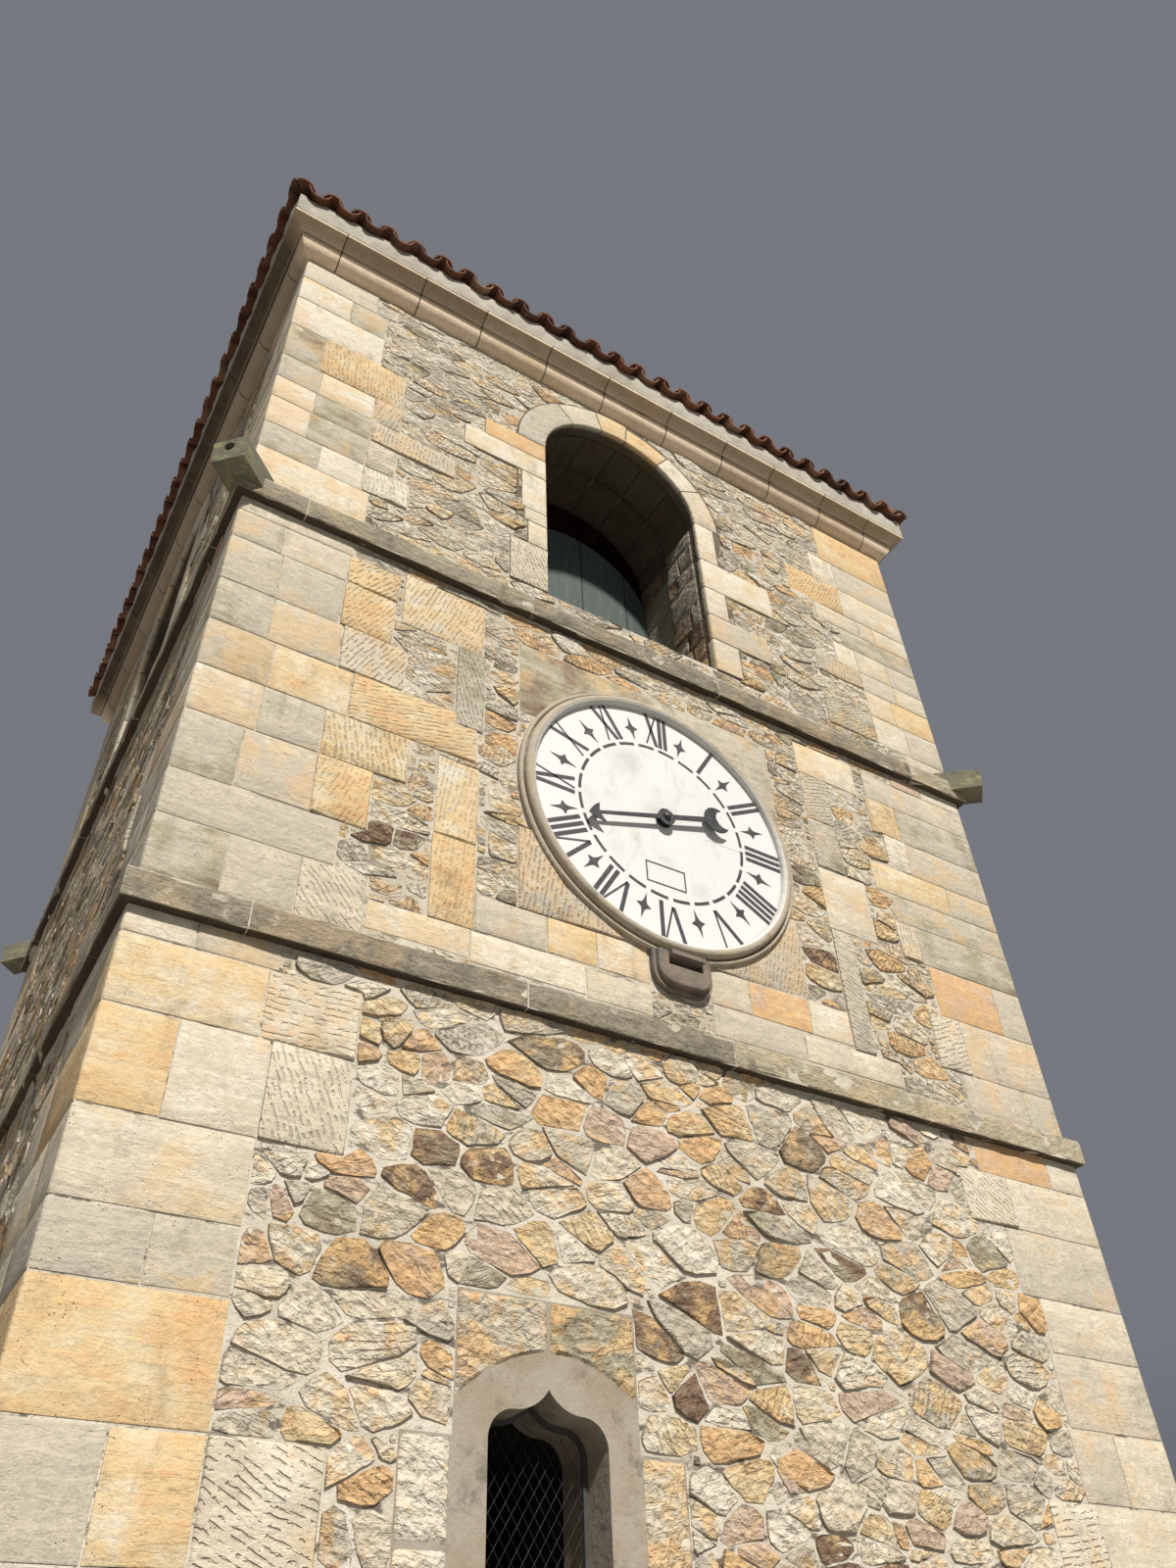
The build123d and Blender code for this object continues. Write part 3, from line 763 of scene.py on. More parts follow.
@dataclass(frozen=True)
class Plane:
    """A flat face with its own directions, in metres.

    Attributes:
        origin: the point at u = 0, v = 0.
        across: direction of u, to the right as seen from outside.
        out: direction of w, away from the stone.
    """

    origin: tuple[float, float, float]
    across: tuple[float, float, float]
    out: tuple[float, float, float]

    def at(self, u: Array, v: Array, w: Array) -> Array:
        """Point = origin + u across + v upwards + w outwards.

        Args:
            u: places across.
            v: heights.
            w: distances outwards.

        Returns:
            Points.
        """
        u, v, w = np.broadcast_arrays(u, v, w)
        spot = np.array(self.origin) + u[..., None] * self.across + w[..., None] * self.out
        spot[..., 2] += v
        return spot


class Side(Enum):
    """The tower's four sides, numbered anticlockwise from the clock side."""

    FRONT = 0
    RIGHT = 1
    BACK = 2
    LEFT = 3

    def face(self, half: float) -> Plane:
        """The side's plane at half metres from the tower's axis."""
        c, s = ((1.0, 0.0), (0.0, 1.0), (-1.0, 0.0), (0.0, -1.0))[self.value]
        return Plane((half * s, -half * c, 0.0), (c, s, 0.0), (s, -c, 0.0))

    def before(self) -> "Side":
        """The side round the corner at this one's left end."""
        return Side((self.value + 3) % 4)


@dataclass(frozen=True)
class Site:
    """Where stones are laid.

    Attributes:
        shell: the piece that takes their points.
        plane: the face that they lie on.
        rng: seeded randomness.
    """

    shell: Shell
    plane: Plane
    rng: Random


# Joint between dressed stones
JOINT = 0.007

# Rounding of the arris where a stone turns a corner
ARRIS = 0.016

# Depth to which a stone's rim is buried in the mortar
BURY = 0.010

# Distances of a stone's first three stations from its end, and their share of full height
LEAD = np.array([0.0, 0.002, 0.009])
LEAD_SHARE = (-1.0, 0.55, 1.0)


def stations(length: "Array | float", middle: int = 2) -> Array:
    """Places along a stone of a given length: its buried end, the arris, then evenly spaced.

    Args:
        length: lengths in metres, any shape.
        middle: how many places between the arrises.

    Returns:
        Places from 0 to length on a last axis.
    """
    length = np.asarray(length, float)[..., None]
    inner = np.linspace(0.0, 1.0, middle + 2)[1:-1]
    return np.concatenate([LEAD + 0 * length, inner * length, length - LEAD[::-1]], -1)


def edge_profile(middle: int = 2) -> Array:
    """Share of full height at each of the stations: buried, part way up the arris, then full."""
    return np.array([*LEAD_SHARE, *[1.0] * middle, *LEAD_SHARE[::-1]])


def stand_off(rows: Array, columns: Array, relief: "Array | float") -> Array:
    """Height over the mortar: relief times the lower of the two profiles, or buried where it is -1."""
    lower = np.minimum(rows[:, None], columns)
    return np.where(lower < 0, -BURY, lower * np.asarray(relief)[..., None, None])


def core_of(rows: Array, columns: Array) -> Array:
    """Share of full height, from 0 at a stone's rims to 1 on its face."""
    return np.clip(np.minimum(rows[:, None], columns), 0, 1)


@dataclass
class Blocks:
    """Flat dressed stones on one plane, gathered and then added to a shell as one array.

    Attributes:
        rows: u0, u1, v0, v1, tone, tooled for each stone.
    """

    rows: list[tuple[float, float, float, float, float, float]] = field(default_factory=list)

    def put(self, u0: float, u1: float, v0: float, v1: float, code: str) -> None:
        """Adds one stone; the code's letter gives its colour and its case the tooling."""
        self.rows.append((u0, u1, v0, v1, TONES[code.lower()], float(code.isupper())))

    def lay(self, site: Site, gap: float = JOINT, dirt: float = 0.0) -> None:
        """Lays every stone.

        Each is a grid of 8 by 8 points whose corners wander a few millimetres. Its rim is buried in
        the mortar and its face stands 4 to 7 mm off it, or up to 16 mm where it is tooled.

        Args:
            site: where they are laid.
            gap: joint width in metres.
            dirt: how dark the painted shade on them is.
        """
        if not self.rows:
            return
        rng = site.rng
        u0, u1, v0, v1, tone, tooled = np.array(self.rows).T
        n = len(u0)
        u0, u1, v0, v1 = u0 + gap / 2, u1 - gap / 2, v0 + gap / 2, v1 - gap / 2
        across = stations(u1 - u0)
        upward = stations(v1 - v0)
        s = across / (u1 - u0)[:, None]
        t = upward / (v1 - v0)[:, None]
        drift = rng.normal(0.0, 0.0022, (n, 2, 2, 2))
        s2, t2 = s[:, None, :], t[:, :, None]
        wander = np.einsum("nabk,nar,nbc->knrc", drift, np.stack([1 - t, t], 1), np.stack([1 - s, s], 1))
        u = u0[:, None, None] + across[:, None, :] + wander[0]
        v = v0[:, None, None] + upward[:, :, None] + wander[1]
        relief = rng.uniform(0.004, 0.007, n) + tooled * rng.uniform(0.003, 0.008, n)
        profile = edge_profile()
        core = core_of(profile, profile)
        w = stand_off(profile, profile, relief)
        rough = rng.normal(0.0, 1.0, w.shape) * (0.0006 + 0.0022 * tooled)[:, None, None]
        w = w + np.where(core >= 1.0, rough, 0.0)
        tilt = rng.normal(0.0, 0.004, (n, 2)) * (0.3 + tooled)[:, None]
        lean = tilt[:, 0, None, None] * (s2 - 0.5) + tilt[:, 1, None, None] * (t2 - 0.5)
        w = w + np.where(w > 0, lean, 0.0)
        spin = rng.uniform(0.0, 1.0, n)[:, None, None]
        tone = tone + rng.uniform(-0.045, 0.045, n)
        depth = (tooled * rng.uniform(0.45, 1.0, n))[:, None, None]
        site.shell.add(site.plane.at(u, v, w), [quads(8, 8, n)], tone=tone[:, None, None], spin=spin,
                       tooled=depth, core=core, dirt=dirt)


def fold(reach: float, depth: float, relief: float) -> tuple[Array, ...]:
    """The path of a stone that turns a corner, from the end on its face to the end on its return.

    A point is (a, w): a is the distance from the edge across the face, w the distance out of it.

    Args:
        reach: length on the face.
        depth: length on the return.
        relief: how far the stone stands off both.

    Returns:
        Base a, base w, normal a, normal w and profile, one number for each place on the path.
    """
    turn = np.linspace(0.0, math.pi / 2, 5)
    inner = ARRIS - relief
    share = np.linspace(0.0, 1.0, 4)[1:-1]
    head = inner + (reach - inner) * share[::-1]
    tail = -(inner + (depth - inner) * share)
    end = 0 * LEAD
    a = np.concatenate([reach - LEAD, head, inner - inner * np.sin(turn), 0 * tail, end])
    w = np.concatenate([end, 0 * head, inner * np.cos(turn) - inner, tail, -depth + LEAD[::-1]])
    na = np.concatenate([end, 0 * head, -np.sin(turn), -1 + 0 * tail, end - 1])
    nw = np.concatenate([end + 1, 1 + 0 * head, np.cos(turn), 0 * tail, end])
    return a, w, na, nw, edge_profile(len(a) - 6)


@dataclass(frozen=True)
class TurnedStone:
    """A dressed stone that turns from a face into a return.

    Attributes:
        reach: length on the face.
        depth: length on the return.
        code: colour letter, a capital where tooled.
        proud: how far its base plane stands off the face.
        dirt: how dark the painted shade on its return is.
    """

    reach: float
    depth: float
    code: str
    proud: float
    dirt: float

    def surface(self, middle: int, rng: Random) -> tuple[Array, Array, dict]:
        """Its folded path, standing off by the edge profiles.

        Args:
            middle: places between the arrises along the edge.
            rng: seeded randomness.

        Returns:
            Distance from the edge across the face, distance out of it, and the marks.
        """
        tooled = float(self.code.isupper())
        relief = rng.uniform(0.004, 0.006)
        a, w, na, nw, profile = fold(self.reach, self.depth, relief)
        rim = edge_profile(middle)
        stand = stand_off(rim, profile, relief)
        stand = stand + np.where(stand > 0.003, rng.normal(0, 0.0005 + 0.0012 * tooled, stand.shape), 0.0)
        tone = TONES[self.code.lower()] + rng.uniform(-0.045, 0.045)
        # Painted shade on its return, set by the stone.
        marks = {"tone": tone, "spin": rng.uniform(), "tooled": tooled, "core": core_of(rim, profile),
                 "dirt": np.where(w < -0.02, self.dirt, 0.0)}
        return a + na * stand, self.proud + w + nw * stand, marks


@dataclass(frozen=True)
class CornerStone(TurnedStone):
    """A stone that turns a corner of the tower or of an opening.

    Attributes:
        edge: place of the corner across the face.
        way: +1 where the face runs to the right of the corner, -1 to the left.
        low: lower joint.
        high: upper joint.
    """

    edge: float
    way: int
    low: float
    high: float

    def lay(self, site: Site) -> None:
        """Surface = folded path times height.

        Args:
            site: where it is laid.
        """
        a, w, marks = self.surface(2, site.rng)
        v = self.low + JOINT / 2 + stations(self.high - self.low - JOINT)
        points = site.plane.at(self.edge + self.way * a, v[:, None], w)
        site.shell.add(points, [quads(*a.shape, flip=self.way > 0)], **marks)


@dataclass(frozen=True)
class Voussoir(TurnedStone):
    """One wedge of an arch ring that turns from the face into the opening.

    Attributes:
        centre: place of the arch's centre on the face.
        radius: of the opening.
        start: first angle in degrees, anticlockwise from the right.
        end: last angle.
    """

    centre: Pair
    radius: float
    start: float
    end: float

    def lay(self, site: Site) -> None:
        """Surface = folded path swung about the centre, with radius and path added.

        Args:
            site: where it is laid.
        """
        middle = max(3, int((self.end - self.start) / 7))
        a, w, marks = self.surface(middle, site.rng)
        span = math.radians(self.end - self.start) * self.radius
        along = JOINT / 2 + stations(span - JOINT, middle)
        angle = math.radians(self.start) + along[:, None] / self.radius
        u = self.centre[0] + (self.radius + a) * np.cos(angle)
        v = self.centre[1] + (self.radius + a) * np.sin(angle)
        site.shell.add(site.plane.at(u, v, w), [quads(*a.shape, flip=True)], **marks)


@dataclass(frozen=True)
class Keep:
    """A box on the face, or a disc where it has a radius, that rubble fills or stays out of.

    Attributes:
        u0: left edge, or the disc's centre.
        u1: right edge.
        v0: lower edge, or the disc's centre.
        v1: upper edge.
        radius: of the disc.
    """

    u0: float
    u1: float
    v0: float
    v1: float
    radius: float = 0.0

    def holds(self, u: Array, v: Array, gap: float) -> Array:
        """Tells which points lie inside, gap included.

        Args:
            u: places across.
            v: heights.
            gap: joint round the place.

        Returns:
            True for each point inside.
        """
        if self.radius:
            return np.hypot(u - self.u0, v - self.v0) < self.radius + gap
        return (u > self.u0 - gap) & (u < self.u1 + gap) & (v > self.v0 - gap) & (v < self.v1 + gap)


@dataclass(frozen=True)
class Field:
    """The part of a face that rubble may cover.

    Attributes:
        area: the whole stretch.
        keeps: places inside it that stay clear.
        gap: joint left round them.
    """

    area: Keep
    keeps: tuple[Keep, ...]
    gap: float

    def free(self, u: Array, v: Array) -> Array:
        """Tells which points are free.

        Args:
            u: places across.
            v: heights.

        Returns:
            True for each free point.
        """
        clear = self.area.holds(u, v, 0.0)
        for keep in self.keeps:
            clear &= ~keep.holds(u, v, self.gap)
        return clear

    def gaps(self, u: Array, v: Array, mid: Array, joint: float) -> Array:
        """Cells for small stones in what the placed ones leave open.

        The placed outlines are painted on a raster of 1 cm cells and thickened by the joint. Repeated
        erosion gives how deep each open cell lies; from the deepest on, a box grows sideways.

        Args:
            u: outlines across.
            v: outlines upwards.
            mid: their middles.
            joint: joint width.

        Returns:
            Corners of the new cells.
        """
        pitch = 0.01
        left_end, foot = self.area.u0, self.area.v0
        wide, tall = int((self.area.u1 - left_end) / pitch) + 1, int((self.area.v1 - foot) / pitch) + 1
        fine = np.linspace(0, u.shape[1], 64, endpoint=False)
        low = fine.astype(int)
        part = fine - low
        high = (low + 1) % u.shape[1]
        edge_u = u[:, low] * (1 - part) + u[:, high] * part
        edge_v = v[:, low] * (1 - part) + v[:, high] * part
        share = np.linspace(0.0, 1.0, 26)[None, :, None]
        at_u = mid[:, 0, None, None] + (edge_u - mid[:, :1])[:, None, :] * share
        at_v = mid[:, 1, None, None] + (edge_v - mid[:, 1:])[:, None, :] * share
        i = np.clip(((at_v - foot) / pitch).astype(int), 0, tall - 1)
        j = np.clip(((at_u - left_end) / pitch).astype(int), 0, wide - 1)
        taken = np.zeros((tall, wide), bool)
        taken[i.ravel(), j.ravel()] = True
        for _ in range(max(1, int(round(joint / pitch)))):
            taken = self._spread(taken)
        cell_u, cell_v = np.meshgrid(left_end + (np.arange(wide) + 0.5) * pitch,
                                     foot + (np.arange(tall) + 0.5) * pitch)
        room = ~taken & self.free(cell_u, cell_v)
        room[[0, -1]] = False
        room[:, [0, -1]] = False
        depth, left = np.zeros(room.shape, int), room
        for _ in range(9):
            depth += left
            left = ~self._spread(~left)
        found = []
        order = np.argsort(-depth, axis=None)
        for spot in order[: int((depth >= 2).sum())]:
            r, c = divmod(int(spot), wide)
            d = int(depth[r, c])
            if not room[r - d + 1 : r + d, c - d + 1 : c + d].all():
                continue
            strip = room[r - d + 1 : r + d].all(axis=0)
            c0, c1 = c, c
            while strip[c0 - 1] and c - c0 < 16:
                c0 -= 1
            while strip[c1 + 1] and c1 - c < 16:
                c1 += 1
            low_v, high_v = foot + (r - d + 0.7) * pitch, foot + (r + d + 0.3) * pitch
            low_u, high_u = left_end + (c0 - 0.3) * pitch, left_end + (c1 + 1.3) * pitch
            found.append([(low_u, low_v), (high_u, low_v), (high_u, high_v), (low_u, high_v)])
            room[max(r - d, 0) : r + d + 1, max(c0 - 1, 0) : c1 + 2] = False
        return np.array(found).reshape(-1, 4, 2)

    @staticmethod
    def _spread(mask: Array) -> Array:
        """Thickens a mask by one cell all round.

        Args:
            mask: the cells.

        Returns:
            The wider mask.
        """
        wider = mask.copy()
        wider[1:] |= mask[:-1]
        wider[:-1] |= mask[1:]
        tall = wider.copy()
        wider[:, 1:] |= tall[:, :-1]
        wider[:, :-1] |= tall[:, 1:]
        return wider


# Points on the outline of a rubble stone
SIDES = 16

# How far the strip round a belfry opening stands proud of the wall
PROUD = 0.012


@dataclass(frozen=True)
class Rubble:
    """How a stretch of rubble is built.

    Attributes:
        size: mean width and height of a stone.
        gap: joint width.
        relief: least and greatest height of a stone's face over the mortar.
        chaos: how far middles stray from a brick lattice.
        thin: share of the middles taken out.
        split: share of the middles doubled.
        codes: colour letters, each as likely as it is often.
        tooled: share of tooled stones.
        shake: unevenness of the outlines.
        lean: how far their faces lean, in radians.
    """

    size: Pair = (0.33, 0.145)
    gap: float = 0.006
    relief: Pair = (0.002, 0.014)
    chaos: float = 0.62
    thin: float = 0.10
    split: float = 0.42
    codes: str = "mggbbbccccwwwwwwwwwor"
    tooled: float = 0.60
    shake: float = 0.03
    lean: float = 0.04

    def middles(self, area: Keep, rng: Random) -> Array:
        """Middles of the stones: a shaken brick lattice, thinned out here and doubled there.

        Args:
            area: the stretch.
            rng: seeded randomness.

        Returns:
            Places (u, v).
        """
        wide, tall = self.size
        i, j = np.meshgrid(np.arange(int((area.v1 - area.v0) / tall) + 3),
                           np.arange(int((area.u1 - area.u0) / wide) + 3), indexing="ij")
        across = area.u0 + (j - 0.75 + 0.5 * (i % 2)) * wide
        spots = np.stack([across, area.v0 + (i - 0.5) * tall], -1).reshape(-1, 2)
        spots += rng.uniform(-0.5, 0.5, spots.shape) * self.chaos * self.size
        spots = spots[rng.uniform(size=len(spots)) > self.thin]
        twins = spots[rng.uniform(size=len(spots)) < self.split]
        return np.concatenate([spots, twins + rng.uniform(-0.55, 0.55, twins.shape) * self.size])

    def lay(self, site: Site, area: Keep, keeps: Sequence[Keep], lift: Keep | None) -> int:
        """Lays the stones of one stretch, then smaller ones in the gaps that are left.

        Args:
            site: where they are laid.
            area: the stretch.
            keeps: places to stay out of.
            lift: a strip on the face that stands proud, if any.

        Returns:
            How many stones there are.
        """
        rng = site.rng
        free = Field(area, tuple(keeps), self.gap / 2)
        large = self._cut_back(*self._outlines(self.middles(area, rng), rng), free)
        self._stones(site, *large, lift)
        cells = free.gaps(*large, self.gap)
        turn = np.arange(SIDES) * 2 * math.pi / SIDES
        half = (cells[:, 2] - cells[:, 0]) / 2
        spot = cells[:, 0] + half
        bulge = 1.0 - np.abs(rng.normal(0, 0.06, (len(cells), SIDES)))
        u = spot[:, :1] + half[:, :1] * np.sign(np.cos(turn)) * np.abs(np.cos(turn)) ** 0.4 * bulge
        v = spot[:, 1:] + half[:, 1:] * np.sign(np.sin(turn)) * np.abs(np.sin(turn)) ** 0.4 * bulge
        small = self._cut_back(u, v, spot, free)
        self._stones(site, *small, lift)
        return len(large[0]) + len(small[0])

    def _outlines(self, spots: Array,
                  rng: Random) -> tuple[Array, Array, Array]:
        """Outlines that share the face out between the middles.

        Along each ray from a middle the stone ends where the ray meets the nearest of the lines half
        way to its neighbours. The lines shift a little by a random weight, so the sizes vary.

        Args:
            spots: middles.
            rng: seeded randomness.

        Returns:
            Places across, heights, and middles.
        """
        flat = spots / self.size
        step = flat[None, :, :] - flat[:, None, :]
        far = np.hypot(step[..., 0], step[..., 1])
        np.fill_diagonal(far, np.inf)
        near = np.argsort(far, axis=1)[:, :14]
        rows = np.arange(len(flat))[:, None]
        step, far = step[rows, near], far[rows, near]
        weight = rng.uniform(-0.09, 0.09, len(flat))
        half = (far**2 + weight[:, None] - weight[near]) / 2
        turn = (np.arange(SIDES) + rng.uniform(-0.3, 0.3, (len(flat), SIDES))) * 2 * math.pi / SIDES
        along = step[:, :, 0, None] * np.cos(turn)[:, None] + step[:, :, 1, None] * np.sin(turn)[:, None]
        meet = np.where(along > 1e-6, half[:, :, None] / np.maximum(along, 1e-6), np.inf).min(axis=1)
        meet = np.clip(meet, 0.05, 1.1) * (1.015 - np.abs(rng.normal(0, self.shake, meet.shape)))
        du, dv = meet * np.cos(turn) * self.size[0], meet * np.sin(turn) * self.size[1]
        real = np.hypot(du, dv)
        pull = np.maximum(1.0 - 0.55 * self.gap / np.maximum(real * 0.8, 0.004), 0.4)
        return spots[:, :1] + du * pull, spots[:, 1:] + dv * pull, spots

    def _cut_back(self, u: Array, v: Array, mid: Array,
                  free: Field) -> tuple[Array, Array, Array]:
        """Cuts outlines back to the free part of the face.

        A stone's middle moves to the mean of its free places, and each point of its outline moves
        along its ray to the last free place on it. Slivers are dropped.

        Args:
            u: outlines across.
            v: outlines upwards.
            mid: their middles.
            free: where stones may lie.

        Returns:
            The same for the stones that remain.
        """
        before = self._area(u, v)
        share = np.array([0.2, 0.45, 0.65, 0.8, 0.92])
        su = mid[:, 0, None, None] + (u - mid[:, :1])[..., None] * share
        sv = mid[:, 1, None, None] + (v - mid[:, 1:])[..., None] * share
        weight = free.free(su, sv) * share
        total = np.maximum(weight.sum((1, 2)), 1e-9)
        mid = np.stack([(su * weight).sum((1, 2)) / total, (sv * weight).sum((1, 2)) / total], 1)
        good = (total > 0.2 * share.sum() * u.shape[1]) & free.free(mid[:, 0], mid[:, 1])
        u, v, mid, before = u[good], v[good], mid[good], before[good]
        du, dv = u - mid[:, :1], v - mid[:, 1:]
        count = 16
        steps = np.arange(1, count + 1) / count
        clear = free.free(mid[:, 0, None, None] + du[..., None] * steps,
                          mid[:, 1, None, None] + dv[..., None] * steps)
        reach = np.cumprod(clear, axis=-1).sum(-1) / count
        for k in range(1, 4):
            trial = np.minimum(reach + 1 / count / 2**k, 1.0)
            reach = np.where(free.free(mid[:, :1] + du * trial, mid[:, 1:] + dv * trial), trial, reach)
        u, v = mid[:, :1] + du * reach, mid[:, 1:] + dv * reach
        good = (self._area(u, v) > 0.2 * before) & (self._area(u, v) > 0.0005)
        good &= (np.ptp(u, axis=1) > 0.020) & (np.ptp(v, axis=1) > 0.015)
        return u[good], v[good], mid[good]

    def _stones(self, site: Site, u: Array, v: Array, mid: Array, lift: Keep | None) -> None:
        """Raises the outlines into stones.

        Four rings lead from an outline to its middle: one buried 12 mm, one at the arris and two on
        the face. The face leans, and two random planes cut chips off it.

        Args:
            site: where they are laid.
            u: outlines across.
            v: outlines upwards.
            mid: their middles.
            lift: a strip on the face that stands proud, if any.
        """
        rng = site.rng
        n, sides = u.shape
        size = np.minimum(np.ptp(u, axis=1), np.ptp(v, axis=1))
        scale = np.stack([np.ones(n), 1 - 0.006 / size, np.full(n, 0.88), np.full(n, 0.52)], 1)
        low, high = self.relief
        relief = (low + (high - low) * rng.uniform(size=n) ** 1.8) * np.clip(size / 0.11, 0.6, 1.25)
        stand = relief[:, None, None]
        rise = np.stack([np.full(n, -0.012), relief * 0.55, relief * 0.95, relief], 1)[:, :, None]
        rise = np.repeat(rise, sides, 2)
        rise[:, 2:] += rng.normal(0, 0.0024, (n, 2, sides))
        du = (u - mid[:, :1])[:, None] * scale[:, :, None]
        dv = (v - mid[:, 1:])[:, None] * scale[:, :, None]
        lean = rng.normal(0, self.lean, (n, 2, 1, 1))
        slope = np.clip(lean[:, 0] * du + lean[:, 1] * dv, -0.6 * stand, 0.016)
        rise[:, 1:] += slope[:, 1:] * np.array([0.5, 1.0, 1.0])[None, :, None]
        for _ in range(2):
            way = rng.uniform(0, 2 * math.pi, (n, 1, 1))
            far = (np.cos(way) * du + np.sin(way) * dv) / (0.5 * size[:, None, None])
            steep = rng.uniform(0.3, 1.0, (n, 1, 1)) * stand
            chip = stand * 1.05 - steep * np.maximum(far - rng.uniform(0.0, 0.8, (n, 1, 1)), 0.0)
            rise[:, 2:] = np.minimum(rise[:, 2:], np.maximum(chip, 0.1 * stand)[:, 2:])
        us = np.concatenate([(mid[:, 0, None, None] + du).reshape(n, -1), mid[:, :1]], 1)
        vs = np.concatenate([(mid[:, 1, None, None] + dv).reshape(n, -1), mid[:, 1:]], 1)
        rises = np.concatenate([rise.reshape(n, -1), (relief * (1 + rng.normal(0, 0.12, n)))[:, None]], 1)
        if lift is not None:
            rises = rises + np.where(lift.holds(us, vs, 0.0), PROUD, 0.0)
        strip = quads(4, sides, ring=True)
        j = np.arange(sides)
        fan = np.stack([3 * sides + j, 3 * sides + (j + 1) % sides, np.full(sides, 4 * sides)], -1)
        shift = (np.arange(n) * (4 * sides + 1))[:, None, None]
        faces = [(strip[None] + shift).reshape(-1, 4), (fan[None] + shift).reshape(-1, 3)]
        core = np.concatenate([np.repeat([0.0, 0.30, 0.95, 1.0], sides), [1.0]])
        letters = rng.choice(list(self.codes), n)
        tone = np.array([TONES[letter] for letter in letters]) + rng.uniform(-0.05, 0.05, n)
        tooled = np.where((rng.uniform(size=n) < self.tooled) & (size > 0.07), 0.9, 0.2)
        site.shell.add(site.plane.at(us, vs, rises), faces, tone=tone[:, None], spin=rng.uniform(size=(n, 1)),
                       tooled=tooled[:, None], core=core[None], dirt=0.0)

    @staticmethod
    def _area(u: Array, v: Array) -> Array:
        """Area inside each outline by the shoelace formula."""
        return 0.5 * np.abs(np.sum(u * np.roll(v, -1, 1) - v * np.roll(u, -1, 1), 1))


# Walls


@dataclass(frozen=True)
class Course:
    """One course of dressed stones that runs in from a corner.

    Attributes:
        low: lower joint.
        high: upper joint.
        joints: distances of its joints from the corner.
        codes: colour letter of each stone, outermost first.
    """

    low: float
    high: float
    joints: tuple[float, ...]
    codes: str


def split_height(low: float, high: float, least: float, most: float, draws: int,
                 rng: Random) -> Array:
    """Levels of courses of random height, stretched to fill what they have to.

    Args:
        low: foot of the lowest.
        high: head of the highest.
        least: least height.
        most: greatest height.
        draws: how many heights are drawn; the ones left over aren't used.
        rng: seeded randomness.

    Returns:
        Levels from low to high.
    """
    tall = rng.uniform(least, most, draws)
    count = int(np.searchsorted(np.cumsum(tall), high - low)) + 1
    return low + np.concatenate(([0.0], np.cumsum(tall[:count]))) * (high - low) / tall[:count].sum()


def random_courses(low: float, high: float, rng: Random) -> list[Course]:
    """Courses of a corner that isn't in the picture, long and short by turns, from the foot up.

    Args:
        low: foot of the corner.
        high: head of the corner.
        rng: seeded randomness.

    Returns:
        The courses.
    """
    levels = split_height(low, high, 0.26, 0.46, 60, rng)
    found = []
    for k, (foot, head) in enumerate(zip(levels[:-1], levels[1:])):
        first = rng.uniform(0.26, 0.42) if k % 2 else rng.uniform(0.58, 0.86)
        if k % 2:
            extra = rng.uniform(0.28, 0.6, 1 if rng.uniform() < 0.65 else 2)
        else:
            extra = rng.uniform(0.25, 0.5, 1)
        joints = (first, *(first + np.cumsum(extra)))
        if not k % 2 and rng.uniform() < 0.5:
            joints = joints[:1]
        codes = "".join(rng.choice(list("gbccwccboo"), len(joints)))
        codes = codes[:-1] + (codes[-1].upper() if rng.uniform() < 0.55 else codes[-1])
        found.append(Course(float(foot), float(head), tuple(map(float, joints)), codes))
    return found


def other_face(courses: Sequence[Course], rng: Random) -> list[Course]:
    """The same courses round the corner: long where the first face is short.

    Args:
        courses: courses of the first face.
        rng: seeded randomness.

    Returns:
        Courses of the other face.
    """
    found = []
    for course in courses:
        first = rng.uniform(0.28, 0.42) if course.joints[0] > 0.5 else rng.uniform(0.55, 0.8)
        joints = (first,) if rng.uniform() < 0.45 else (first, first + rng.uniform(0.25, 0.55))
        letters = course.codes[0] + "".join(rng.choice(list("gbcCwoOB"), len(joints) - 1))
        found.append(Course(course.low, course.high, joints, letters))
    return found


